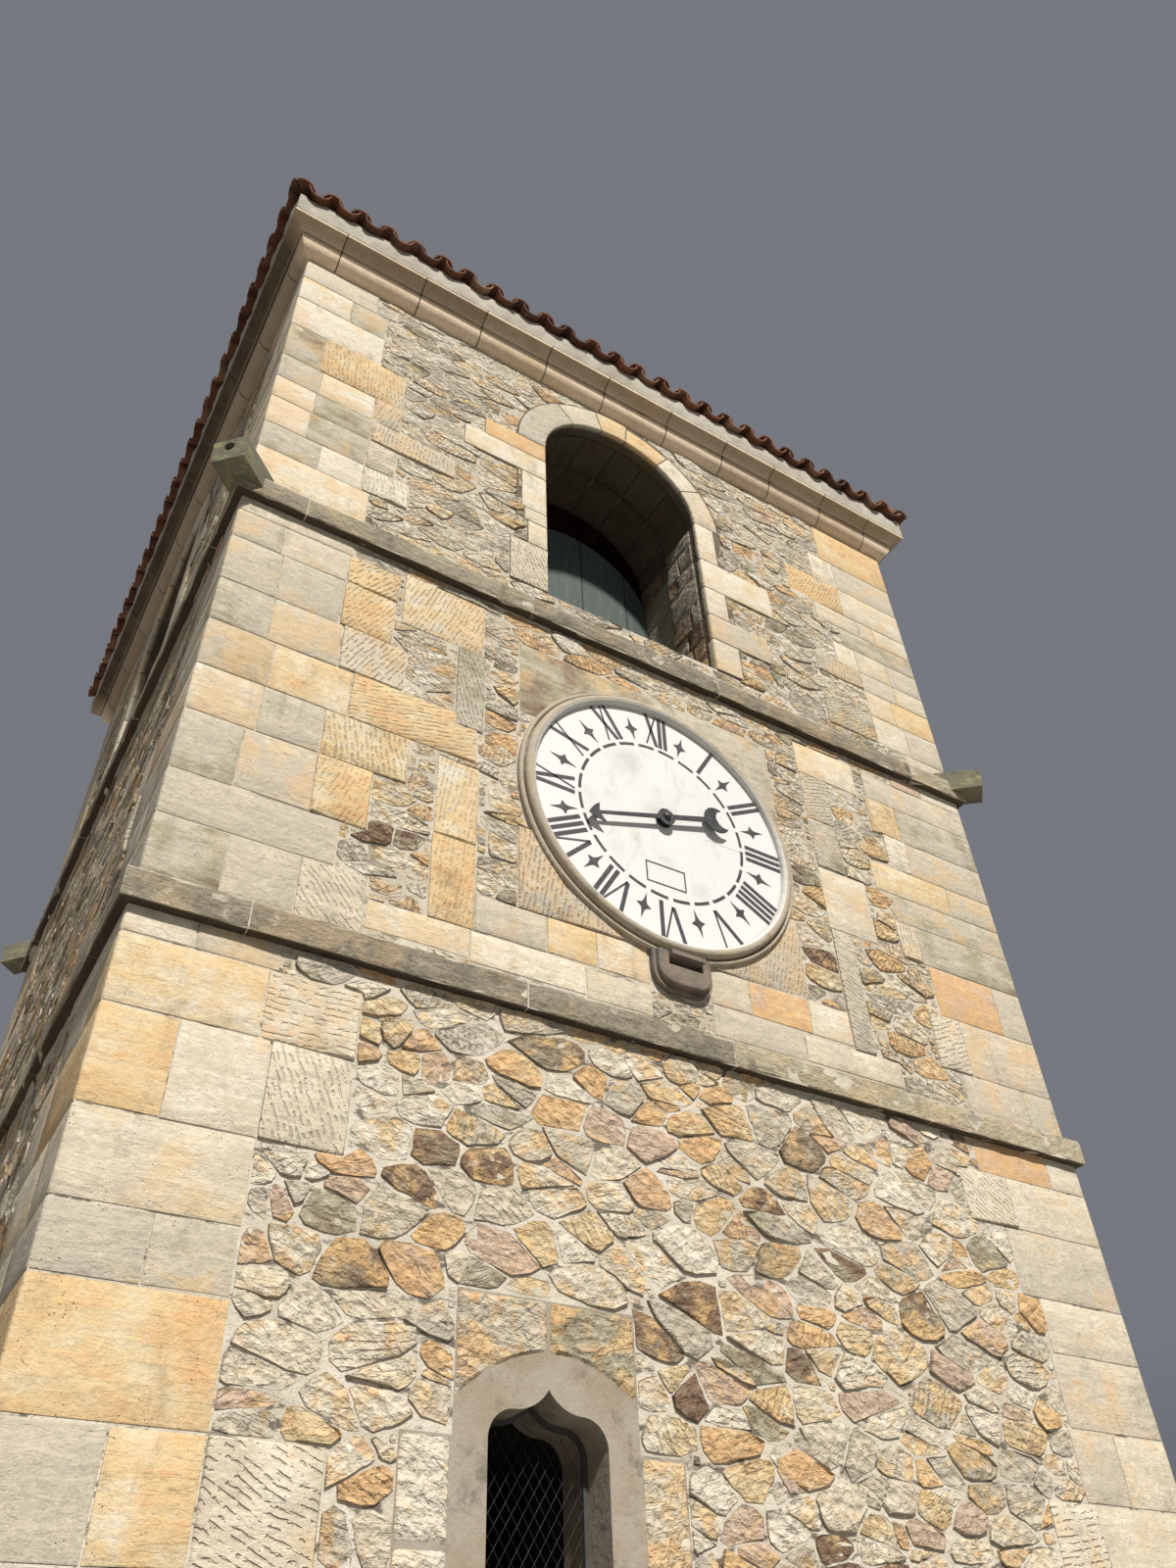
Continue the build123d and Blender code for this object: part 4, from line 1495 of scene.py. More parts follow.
@dataclass
class Stage:
    """The masonry of one stage: corner stones, flat dressed stones and rubble on four sides.

    Attributes:
        name: the stage's name.
        half: distance of its faces from the axis.
        low: foot of the stage.
        high: head of the stage.
        dressed: finish of the dressed stones.
        rough: finish of the rubble.
        rubble: how its rubble is built.
        front_left: courses at the front's left end, from the picture.
        front_right: courses at its right end.
        front_blocks: u0, u1, v0, v1 and code of the other dressed stones in the picture.
        openings: boxes and discs that masonry stays out of, by side.
        lifts: strips that stand proud, by side.
        seed: for its randomness.
    """

    name: str
    half: float
    low: float
    high: float
    dressed: Material
    rough: Material
    rubble: Rubble
    front_left: Sequence[Course]
    front_right: Sequence[Course]
    front_blocks: Sequence[tuple[float, float, float, float, str]] = ()
    openings: dict[Side, list[Keep]] = field(default_factory=dict)
    lifts: dict[Side, Keep] = field(default_factory=dict)
    seed: int = 1

    def build(self) -> None:
        """Builds the corner stones and then each side's flat stones and rubble."""
        rng = np.random.default_rng(self.seed)
        left_end: dict[Side, Sequence[Course]] = {}
        right_end: dict[Side, Sequence[Course]] = {}
        for side in Side:
            if side is Side.RIGHT:
                right_end[side.before()] = self.front_right
                left_end[side] = other_face(self.front_right, rng)
            else:
                first = self.front_left if side is Side.FRONT else random_courses(self.low, self.high, rng)
                left_end[side] = first
                right_end[side.before()] = other_face(first, rng)
        corners = Shell(f"{self.name}_corner_stones")
        for side in Side:
            site = Site(corners, side.face(self.half), rng)
            for here, there in zip(left_end[side], right_end[side.before()]):
                CornerStone(here.joints[0], there.joints[0], here.codes[0], 0.0, 0.0, -self.half, 1,
                            here.low, here.high).lay(site)
        corners.make(self.dressed, "ashlar")
        for side in Side:
            self._side(side, left_end[side], right_end[side], rng)

    def _side(self, side: Side, left: Sequence[Course], right: Sequence[Course],
              rng: Random) -> None:
        """Builds one side's flat stones and rubble.

        Args:
            side: which side.
            left: courses at its left end.
            right: courses at its right end.
            rng: seeded randomness.
        """
        blocks = Blocks()
        keeps = list(self.openings.get(side, []))
        for way, ends in ((1, left), (-1, right)):
            for course in ends:
                places = [way * (joint - self.half) for joint in course.joints]
                for first, second, code in zip(places[:-1], places[1:], course.codes[1:]):
                    blocks.put(*sorted((first, second)), course.low, course.high, code)
                keeps.append(Keep(*sorted((-way * self.half, places[-1])), course.low, course.high))
        if side is Side.FRONT:
            for u0, u1, v0, v1, code in self.front_blocks:
                blocks.put(u0, u1, v0, v1, code)
                keeps.append(Keep(u0, u1, v0, v1))
        plane = side.face(self.half)
        flat = Shell(f"{self.name}_{side.name.lower()}_dressed")
        blocks.lay(Site(flat, plane, rng))
        flat.make(self.dressed, "ashlar")
        stones = Shell(f"{self.name}_{side.name.lower()}_rubble")
        area = Keep(-self.half + 0.2, self.half - 0.2, self.low + 0.004, self.high - 0.004)
        count = self.rubble.lay(Site(stones, plane, rng), area, keeps, self.lifts.get(side))
        log.info("%s %s: %d rubble stones", self.name, side.name.lower(), count)
        stones.make(self.rough, "rubble")


def courses(corner: float, foot: float, *rows: tuple[float, tuple[float, ...], str]) -> list[Course]:
    """Courses one on the other.

    Args:
        corner: place of the corner across the front.
        foot: foot of the lowest.
        rows: head, places of the joints across the front, and codes of each.

    Returns:
        The courses from the foot up.
    """
    lows = (foot, *(row[0] for row in rows))
    return [Course(low, high, tuple(abs(j - corner) for j in joints), codes)
            for low, (high, joints, codes) in zip(lows, rows)]


BELFRY_LEFT = courses(
    -BELFRY_HALF, UPPER_STRING_TOP,
    (8.44, (-2.23,), "w"), (8.73, (-2.60, -2.29, -1.95), "gwW"), (9.05, (-2.72, -2.29, -2.07), "wgC"),
    (9.31, (-2.71, -2.28, -1.61), "wgB"), (9.61, (-2.70, -2.29, -2.07), "bwB"), (10.07, (-2.73, -2.07), "gO"),
    (10.48, (-2.29,), "w"), (10.81, (-2.59, -2.29), "wg"), (CORNICE_FOOT, (-2.39,), "c"),
)
BELFRY_RIGHT = courses(
    BELFRY_HALF, UPPER_STRING_TOP,
    (8.20, (2.55,), "b"), (8.53, (2.63, 2.27, 1.75), "bcG"), (8.83, (2.56, 2.27), "oc"),
    (9.06, (2.65, 2.27, 1.77), "cbG"), (9.34, (2.64, 2.27, 2.03), "bcw"), (9.58, (2.15,), "g"),
    (9.81, (2.60, 2.41, 1.91), "cbc"), (10.19, (2.27, 1.65), "cO"), (10.57, (2.28, 1.99), "bw"),
    (CORNICE_FOOT, (2.15,), "o"),
)
MIDDLE_LEFT = courses(
    -MIDDLE_HALF, LOWER_STRING_TOP,
    (5.29, (-2.65, -2.29, -1.93), "gbC"), (5.58, (-2.12,), "b"), (5.99, (-2.69, -2.29, -1.97), "gbO"),
    (6.33, (-2.64, -2.29, -1.77), "cbO"), (6.69, (-2.63, -2.16, -1.35), "goO"),
    (7.05, (-2.68, -2.26, -1.85), "gbC"), (7.45, (-2.69, -2.29, -1.95), "bgO"),
    (7.71, (-2.71, -2.29, -1.94), "bcO"), (UPPER_STRING_FOOT, (-2.27,), "c"),
)
MIDDLE_RIGHT = courses(
    MIDDLE_HALF, LOWER_STRING_TOP,
    (5.21, (2.73, 2.17), "gb"), (5.62, (2.29, 2.01), "bC"), (6.01, (2.73, 2.13), "br"),
    (6.32, (2.10, 1.91), "gC"), (6.56, (1.95,), "g"), (6.82, (2.55, 1.80), "go"), (7.13, (2.23, 2.01), "bW"),
    (7.47, (2.21, 1.91), "gO"), (7.72, (1.95,), "b"), (UPPER_STRING_FOOT, (2.59, 2.27), "cp"),
)
LOWER_LEFT = courses(
    -LOWER_HALF, 0.0,
    (0.42, (-2.2,), "b"), (0.80, (-2.62, -2.2), "gB"), (1.16, (-2.25,), "c"), (1.55, (-2.66, -2.25), "bc"),
    (1.92, (-2.28, -1.9), "cB"), (2.3, (-2.62, -2.3), "gc"), (2.71, (-2.63, -2.29, -1.85), "boC"),
    (3.165, (-2.29,), "o"), (3.435, (-2.63, -2.29), "gb"), (3.805, (-2.29,), "c"),
    (4.255, (-2.69, -2.29, -1.9), "ocC"), (4.605, (-2.35, -1.9), "oC"),
    (LOWER_STRING_FOOT, (-2.7, -2.3), "cb"),
)
LOWER_RIGHT = courses(
    LOWER_HALF, 0.0,
    (0.40, (2.2,), "g"), (0.82, (2.6, 2.25), "bC"), (1.2, (2.3,), "c"), (1.6, (2.65, 2.2), "bB"),
    (1.98, (2.28,), "c"), (2.4, (2.66, 2.3), "gc"), (2.8, (2.3, 1.95), "cC"), (3.15, (2.6, 2.25), "cb"),
    (3.53, (2.28,), "b"), (3.825, (2.31,), "c"), (4.215, (2.19,), "b"), (4.535, (2.31, 1.91), "cC"),
    (LOWER_STRING_FOOT, (2.73, 2.09), "cr"),
)

MIDDLE_BLOCKS = (
    (-1.60, -1.33, 5.16, 5.72, "O"), (-1.60, -1.33, 5.72, 6.29, "O"), (-1.51, -1.31, 6.59, 7.28, "G"),
    (-1.91, -1.33, 7.28, 7.76, "O"), (1.27, 1.53, 6.56, 7.0, "G"), (1.27, 1.53, 7.0, 7.44, "B"),
    (1.27, 1.45, 5.14, 6.04, "B"), (1.27, 1.85, 7.44, 7.76, "w"), (1.27, 1.69, 6.04, 6.56, "c"),
    (-1.07, -0.16, 6.92, 7.56, "m"), (-0.16, 0.16, 6.92, 7.56, "m"), (0.16, 0.97, 6.90, 7.56, "g"),
    (-1.07, -0.35, 5.40, 5.98, "B"), (-0.35, 0.25, 5.40, 5.7, "b"), (0.25, 0.97, 5.40, 6.0, "B"),
    (-1.33, -0.89, 5.16, 5.40, "b"), (-0.89, -0.57, 5.16, 5.40, "o"), (-0.57, -0.225, 5.16, 5.40, "c"),
    (0.195, 0.49, 5.16, 5.40, "b"), (0.49, 0.95, 5.16, 5.40, "r"), (0.95, 1.27, 5.16, 5.40, "c"),
    (-1.93, -1.35, 4.98, 5.16, "c"), (-1.35, -0.65, 4.965, 5.16, "w"), (-0.65, -0.225, 4.955, 5.14, "c"),
    (0.195, 0.87, 4.955, 5.16, "b"), (0.87, 1.63, 4.96, 5.14, "c"),
)


# Heights of a belfry opening's sill and springing, and the radius of its arch
SILL, SPRING, ARCH = 8.22, 10.08, 0.745

# Depth of the dressed ring, how much wider the opening is behind it, and the wall's depth
RING_DEPTH, RECESS, WALL_DEPTH = 0.45, 0.045, 0.90

# Two places or angles, a reach and a colour code for each stone
Rows = tuple[tuple[float, float, float, str], ...]


@dataclass(frozen=True)
class Opening:
    """A belfry opening: jamb stones, arch ring, reveals and vault.

    Attributes:
        side: which side it is on.
        centre: place of its middle across the face.
        left: low, high, reach and code of each stone of the left jamb.
        right: the same for the right jamb.
        wedges: start and end angle, reach and code of each stone of the arch.
    """

    side: Side
    centre: float
    left: Rows
    right: Rows
    wedges: Rows

    def keeps(self) -> list[Keep]:
        """Boxes over the jambs and a disc over the arch.

        Returns:
            Places that rubble stays out of.
        """
        found = [Keep(self.centre, self.centre, SPRING, SPRING, ARCH + 0.252)]
        for way, stones in ((-1, self.left), (1, self.right)):
            for low, high, reach, _ in stones:
                found.append(Keep(*sorted((self.centre, self.centre + way * (ARCH + reach))), low, high))
        return found

    def lift(self) -> Keep:
        """The strip where the surround's core stands proud of the wall."""
        edge = ARCH + 0.26
        return Keep(self.centre - edge, self.centre + edge, SILL, SPRING)

    def build(self, dressed: Material, rough: Material) -> None:
        """Builds the dressed ring, the rough reveals and the vault behind it.

        Args:
            dressed: finish of the dressed stones.
            rough: finish of the rubble.
        """
        rng = np.random.default_rng(40 + self.side.value)
        plane = self.side.face(BELFRY_HALF)
        name = f"belfry_{self.side.name.lower()}"
        site = Site(Shell(f"{name}_ring"), plane, rng)
        for way, stones in ((-1, self.left), (1, self.right)):
            edge = self.centre + way * ARCH
            for low, high, reach, code in stones:
                depth = rng.uniform(0.035, 0.075)
                # Painted shade on the jambs' returns into the opening.
                CornerStone(reach, depth, code, PROUD, 0.35, edge, way, low, high).lay(site)
        for start, end, reach, code in self.wedges:
            # Painted shade on the arch's soffit.
            Voussoir(reach, 0.115, code, PROUD, 0.90, (self.centre, SPRING), ARCH, start, end).lay(site)
        self._vault(site)
        site.shell.make(dressed, "ashlar")
        reveals = Shell(f"{name}_reveals")
        origin, across, out = (np.array(v) for v in (plane.origin, plane.across, plane.out))
        for way in (-1, 1):
            for step, near, far in ((0.0, 0.08, RING_DEPTH - 0.002),
                                    (RECESS, RING_DEPTH + 0.002, WALL_DEPTH)):
                edge = origin + across * (self.centre + way * (ARCH + step))
                face = Plane(tuple(edge), tuple(out * way), tuple(across * -way))
                blocks = Blocks()
                levels = SILL + np.cumsum(np.concatenate(([0.0], rng.uniform(0.17, 0.40, 12))))
                for low, high in zip(levels[:-1], np.minimum(levels[1:], SPRING)):
                    cuts = [near, near + (far - near) * rng.uniform(0.3, 0.7), far]
                    cuts = cuts if rng.uniform() < 0.45 else cuts[::2]
                    for start, end in zip(cuts[:-1], cuts[1:]):
                        if high - low > 0.05:
                            span = (-end, -start) if way > 0 else (start, end)
                            blocks.put(*span, float(low), float(high), str(rng.choice(list("GBGDBC"))))
                # The reveals carry painted shade.
                blocks.lay(Site(reveals, face, rng), 0.010, 0.30)
        reveals.make(rough, "rubble")

    def _vault(self, site: Site) -> None:
        """Long stones of the vault behind the ring: radius less height, swung round the centre.

        Args:
            site: where they are laid.
        """
        rng = site.rng
        bounds = np.radians([0, 17, 39, 64, 86, 110, 133, 158, 180])
        rows, columns = edge_profile(4), edge_profile()
        for start, end in zip(bounds[:-1], bounds[1:]):
            for radius, near, far in ((ARCH, 0.118, RING_DEPTH - 0.002),
                                      (ARCH + RECESS, RING_DEPTH + 0.002, WALL_DEPTH)):
                angle = start + (0.003 + stations((end - start) * radius - 0.006, 4))[:, None] / radius
                stand = stand_off(rows, columns, rng.uniform(0.003, 0.006))
                u = self.centre + (radius - stand) * np.cos(angle)
                v = SPRING + (radius - stand) * np.sin(angle)
                points = site.plane.at(u, v, -(near + stations(far - near)))
                # The vault carries strong painted shade.
                site.shell.add(points, [quads(*stand.shape, flip=True)], tone=rng.uniform(0.12, 0.36),
                               spin=rng.uniform(), tooled=0.0, core=core_of(rows, columns), dirt=0.93)


def plain_opening(side: Side, rng: Random) -> Opening:
    """An opening that isn't in the picture, with jamb stones long and short by turns.

    Args:
        side: which side it is on.
        rng: seeded randomness.

    Returns:
        The opening.
    """
    def jamb() -> Rows:
        """One jamb's stones from the sill to the springing.

        Returns:
            Low, high, reach and code of each.
        """
        levels = split_height(SILL, SPRING, 0.25, 0.46, 12, rng)
        count = len(levels) - 1
        reach = np.where(np.arange(count) % 2, rng.uniform(0.38, 0.62, count), rng.uniform(0.19, 0.27, count))
        codes = rng.choice(list("cbgcwoC"), count)
        return tuple((float(low), float(high), float(far), str(code))
                     for low, high, far, code in zip(levels[:-1], levels[1:], reach, codes))

    bounds = np.array([29, 55, 80, 102, 127, 154]) + rng.uniform(-5, 5, 6)
    cuts = np.concatenate(([0.0], np.sort(bounds), [180.0]))
    wedges = tuple((float(start), float(end), 0.25, str(rng.choice(list("cbwogc"))))
                   for start, end in zip(cuts[:-1], cuts[1:]))
    return Opening(side, 0.0, jamb(), jamb(), wedges)


FRONT_OPENING = Opening(
    Side.FRONT, -0.10,
    left=((SILL, 8.70, 0.305, "C"), (8.70, 8.975, 0.16, "c"), (8.975, 9.13, 0.19, "c"),
          (9.13, 9.60, 0.215, "w"), (9.60, 9.86, 0.715, "w"), (9.86, SPRING, 0.545, "r")),
    right=((SILL, 8.575, 0.245, "c"), (8.575, 8.875, 0.575, "b"), (8.875, 9.215, 0.20, "c"),
           (9.215, 9.585, 0.705, "w"), (9.585, SPRING, 0.18, "w")),
    wedges=((0.0, 31.6, 0.235, "c"), (31.6, 57.0, 0.23, "w"), (57.0, 84.0, 0.215, "o"),
            (84.0, 103.0, 0.25, "o"), (103.0, 128.0, 0.245, "c"), (128.0, 180.0, 0.25, "g")),
)


@dataclass(frozen=True)
class WindowStones:
    """The rough fields of the low window's stones, round the smooth margin that the solid shows.

    Attributes:
        x: place of its middle across the front.
        half: half width of the lintel and of the margin round the opening.
        outer: half width over the jamb stones.
        foot: foot of the sill.
        seat: where the lintel sits.
        top: head of the lintel.
    """

    x: float = -0.912
    half: float = 0.437
    outer: float = 0.660
    foot: float = 1.760
    seat: float = 2.794
    top: float = 3.352

    def build(self, dressed: Material, wire: Material) -> None:
        """Builds the two lintel fields, the jamb fields and the wire mesh.

        Args:
            dressed: finish of the stones.
            wire: finish of the mesh.
        """
        site = Site(Shell("window_stones"), Side.FRONT.face(LOWER_HALF), np.random.default_rng(71))
        for u0, u1, code in ((-self.half, -0.002, "b"), (0.002, self.half, "m")):
            u = self.x + np.linspace(u0, u1, 22)
            self._field(site, u, 3.135 - (u + 0.88) ** 2, np.full(22, self.top), code)
        for way, cuts, code in ((-1, (2.10, 2.42), "w"), (1, (2.26,), "c")):
            ends = (self.foot, *cuts, self.seat)
            u = self.x + np.linspace(*sorted((way * self.half, way * self.outer)), 14)
            for low, high in zip(ends[:-1], ends[1:]):
                self._field(site, u, np.full(14, low + 0.003), np.full(14, high - 0.003), code)
        site.shell.make(dressed, "ashlar")
        self._mesh(wire)

    @staticmethod
    def _field(site: Site, u: Array, low: Array, high: Array, code: str) -> None:
        """A rough field between two curves: height = smoothed random grid, buried all round.

        Args:
            site: where it is laid.
            u: places across.
            low: its foot at each place.
            high: its head at each place.
            code: colour letter.
        """
        rows = max(8, int((high - low).mean() / 0.022))
        t = np.linspace(0.0, 1.0, rows)[:, None]
        v = low + (high - low) * t
        edge = np.minimum.reduce([u - u[0] + 0 * v, u[-1] - u + 0 * v, v - low, high - v])
        rough = site.rng.normal(0, 1, v.shape)
        rough = (rough + np.roll(rough, 1, 0) + np.roll(rough, 1, 1)) / 1.7
        w = np.where(edge < 1e-6, -0.006, 0.010 * np.clip(edge / 0.02, 0.3, 1.0) + rough * 0.0028)
        site.shell.add(site.plane.at(u, v, w), [quads(*v.shape)], tone=TONES[code], spin=site.rng.uniform(),
                       tooled=0.35, core=np.clip(edge / 0.015, 0.0, 1.0), dirt=0.0)

    def _mesh(self, wire: Material) -> None:
        """Diamond wire mesh in the grille's frame: slanted square wires, cut to the frame.

        Args:
            wire: its finish.
        """
        shell = Shell("window_mesh")
        half, low, high = 0.262, 1.974, 2.885
        depth, size, slope, pitch = -2.840, 0.0011, 1.55, 0.052
        for way in (-1, 1):
            for start in np.arange(-1.3, 1.3, pitch):
                a0 = max(-half, start)
                a1 = min(half, start + (high - low) / slope)
                if a1 - a0 < 0.03:
                    continue
                z0, z1 = low + (a0 - start) * slope, low + (a1 - start) * slope
                ends = np.array([(self.x + way * a0, z0), (self.x + way * a1, z1)])
                run = (ends[1] - ends[0]) / np.linalg.norm(ends[1] - ends[0])
                side = np.array([-run[1], run[0]]) * size
                ring = np.array([(1, 0), (0, 1), (-1, 0), (0, -1)])
                points = np.stack([np.stack([ends[:, 0] + side[0] * a, np.full(2, depth + size * b * way),
                                             ends[:, 1] + side[1] * a], -1) for a, b in ring], 1)
                shell.add(points, [quads(2, 4, ring=True)], tone=0.5)
        shell.make(wire, "grille_steel")


# Courses and cornice


@dataclass(frozen=True)
class Moulding:
    """A moulded course round the tower, laid in separate stones over its CAD core.

    Attributes:
        name: the piece's name.
        half: half width of the tower that the profile's w is counted from.
        profile: (w, height) from its foot to its head.
        lengths: least and greatest length of a stone.
        wear: random height of its surface in metres.
        codes: colour letters.
        relief: how far the stones stand off the core.
        seed: for its randomness.
        under: how dark the painted shade on their undersides is.
        grime: how dark the painted shade on the stones of each side is, from the front anticlockwise.
    """

    name: str
    half: float
    profile: tuple[Pair, ...]
    lengths: Pair
    wear: float
    codes: str
    relief: float = 0.0035
    seed: int = 5
    under: float = 0.9
    grime: tuple[float, float, float, float] = (0.0, 0.0, 0.0, 0.0)

    def cuts(self, rng: Random) -> Array:
        """Places of the joints along the path, which starts at the front's left corner.

        Args:
            rng: seeded randomness.

        Returns:
            The places in order.
        """
        wide = 2 * self.half
        found = []
        for side in Side:
            arms = rng.uniform(0.3, 0.6, 2) * self.lengths[0]
            count = max(1, int(round((wide - arms.sum()) / np.mean(self.lengths))))
            parts = rng.uniform(*self.lengths, count)
            places = arms[0] + np.concatenate(([0.0], np.cumsum(parts))) * (wide - arms.sum()) / parts.sum()
            found.append(side.value * wide + places)
        return np.concatenate(found)

    def build(self, material: Material, slot: str) -> None:
        """Surface = profile swept round the four faces and mitred at the corners.

        Args:
            material: finish of the stones.
            slot: the record's material slot.
        """
        rng = np.random.default_rng(self.seed)
        shell = Shell(self.name)
        line = np.array(self.profile)
        run = np.gradient(line, axis=0)
        normal = np.stack([run[:, 1], -run[:, 0]], -1)
        normal /= np.maximum(np.linalg.norm(normal, axis=1, keepdims=True), 1e-9)
        cuts = self.cuts(rng)
        for start, end in zip(cuts, np.append(cuts[1:], cuts[0] + 8 * self.half)):
            self._stone(shell, start + 0.003, end - 0.003, line, normal, rng)
        shell.make(material, slot)

    def _stone(self, shell: Shell, start: float, end: float, line: Array, normal: Array,
               rng: Random) -> None:
        """Lays one stone between two joints; at a corner its u becomes the half width plus w.

        Args:
            shell: where the points go.
            start: place of its first joint on the path.
            end: place of its second joint.
            line: profile points.
            normal: profile normals.
            rng: seeded randomness.
        """
        wide = 2 * self.half
        middle = max(2, int((end - start) / 0.14))
        path = start + stations(np.array(end - start), middle)
        corner = np.ceil(start / wide) * wide
        if start < corner < end:
            path[3 + int(np.argmin(np.abs(path[3:-3] - corner)))] = corner
        side = np.floor(path / wide + 1e-9).astype(int)
        u = path - side * wide - self.half
        bend = np.abs(u + self.half) < 1e-6
        rim = edge_profile(middle)
        stand = np.where(rim < 0, -0.008, rim * self.relief)[None, :] + np.zeros((len(line), 1))
        stand = stand + np.where(rim >= 1, rng.normal(0, self.wear, stand.shape), 0.0) * ~bend
        w = self.half + line[:, :1] + normal[:, :1] * stand
        z = line[:, 1:] + normal[:, 1:] * stand
        u = np.where(bend[None, :], -w, u[None, :])
        c = np.array([1.0, 0.0, -1.0, 0.0])[side % 4]
        s = np.array([0.0, 1.0, 0.0, -1.0])[side % 4]
        points = np.stack([u * c + w * s, u * s - w * c, z], -1)
        tone = TONES[str(rng.choice(list(self.codes)))] + rng.uniform(-0.05, 0.05)
        core = np.clip(rim, 0, 1)[None, :] + np.zeros_like(stand)
        # Painted shade on the undersides and, side by side, on the shaded faces.
        under = np.clip(-normal[:, 1:] * 1.6 - 0.5, 0.0, 1.0) * self.under
        grime = np.array(self.grime)[side % 4] * ~bend
        shell.add(points, [quads(*stand.shape)], tone=tone, spin=rng.uniform(), tooled=0.0, core=core,
                  dirt=np.clip(under + grime[None, :] + 0 * stand, 0.0, 0.95))


def string_profile(reach: float, foot: float, top: float) -> tuple[Pair, ...]:
    """A string course: flat underside, upright face with a worn top arris, weathered top.

    Args:
        reach: how far its face stands out.
        foot: height of its underside.
        top: height of its top.

    Returns:
        Its (w, height) points.
    """
    edge = top - 0.022
    return ((-0.03, foot), (reach * 0.4, foot), (reach - 0.007, foot), (reach - 0.001, foot + 0.003),
            (reach, foot + 0.012), (reach, (foot + edge) / 2), (reach, edge - 0.016),
            (reach - 0.004, edge - 0.004), (reach - 0.014, edge + 0.003), (reach * 0.5, top - 0.010),
            (-0.03, top + 0.010))


def cornice_roll_profile() -> tuple[Pair, ...]:
    """A quarter ellipse from the wall's face out to the groove, and the groove.

    Returns:
        Its (w, height) points.
    """
    turn = np.linspace(-math.pi / 2, 0.0, 13)
    arc = [(0.106 * math.cos(t), 11.245 + 0.137 * math.sin(t)) for t in turn]
    return ((-0.03, CORNICE_FOOT), *arc, (0.104, 11.2465), (0.090, 11.247), (0.090, 11.252))


def cornice_crown_profile() -> tuple[Pair, ...]:
    """A flat band, a hollow soffit that rises outwards and a square fillet.

    Returns:
        Its (w, height) points.
    """
    start, end = np.array((0.125, 11.301)), np.array((0.220, 11.340))
    share = np.linspace(0.0, 1.0, 7)[:, None]
    chord = start + (end - start) * share
    across = np.array((-(end - start)[1], (end - start)[0])) / np.linalg.norm(end - start)
    soffit = chord + across * 0.009 * 4 * share * (1 - share)
    return ((0.085, 11.2555), (0.120, 11.2555), (0.1245, 11.257), (0.125, 11.262), (0.125, 11.296),
            *map(tuple, soffit), (0.2205, 11.343), (0.2205, 11.364), (0.217, 11.3695), (0.17, 11.370))


# Roof


@dataclass(frozen=True)
class Barrel:
    """The shape of a barrel tile.

    Attributes:
        lower: radius at its lower end.
        upper: radius at its upper end.
        rise: height of its axis over the slope's underside.
        way: 1 for a cover, hollow side down, -1 for a channel.
        tilt: how much its upper end rises.
        back: how far its lower end is set back.
    """

    lower: float
    upper: float
    rise: float
    way: int
    tilt: float
    back: float


COVER = Barrel(0.086, 0.070, 0.062, 1, -0.012, 0.012)
CHANNEL = Barrel(0.098, 0.086, 0.094, -1, -0.004, 0.0)

# How much a tile's arc is flattened
FLAT = 0.82

# Skins of a tile: shares of its length, whether the tile is thin there, and whether it faces inwards
SKINS = (((0.0, 0.0, 0.5, 1.0), (1.0, 0.0, 0.0, 0.0), False), ((0.0, 1.0), (1.0, 1.0), True))


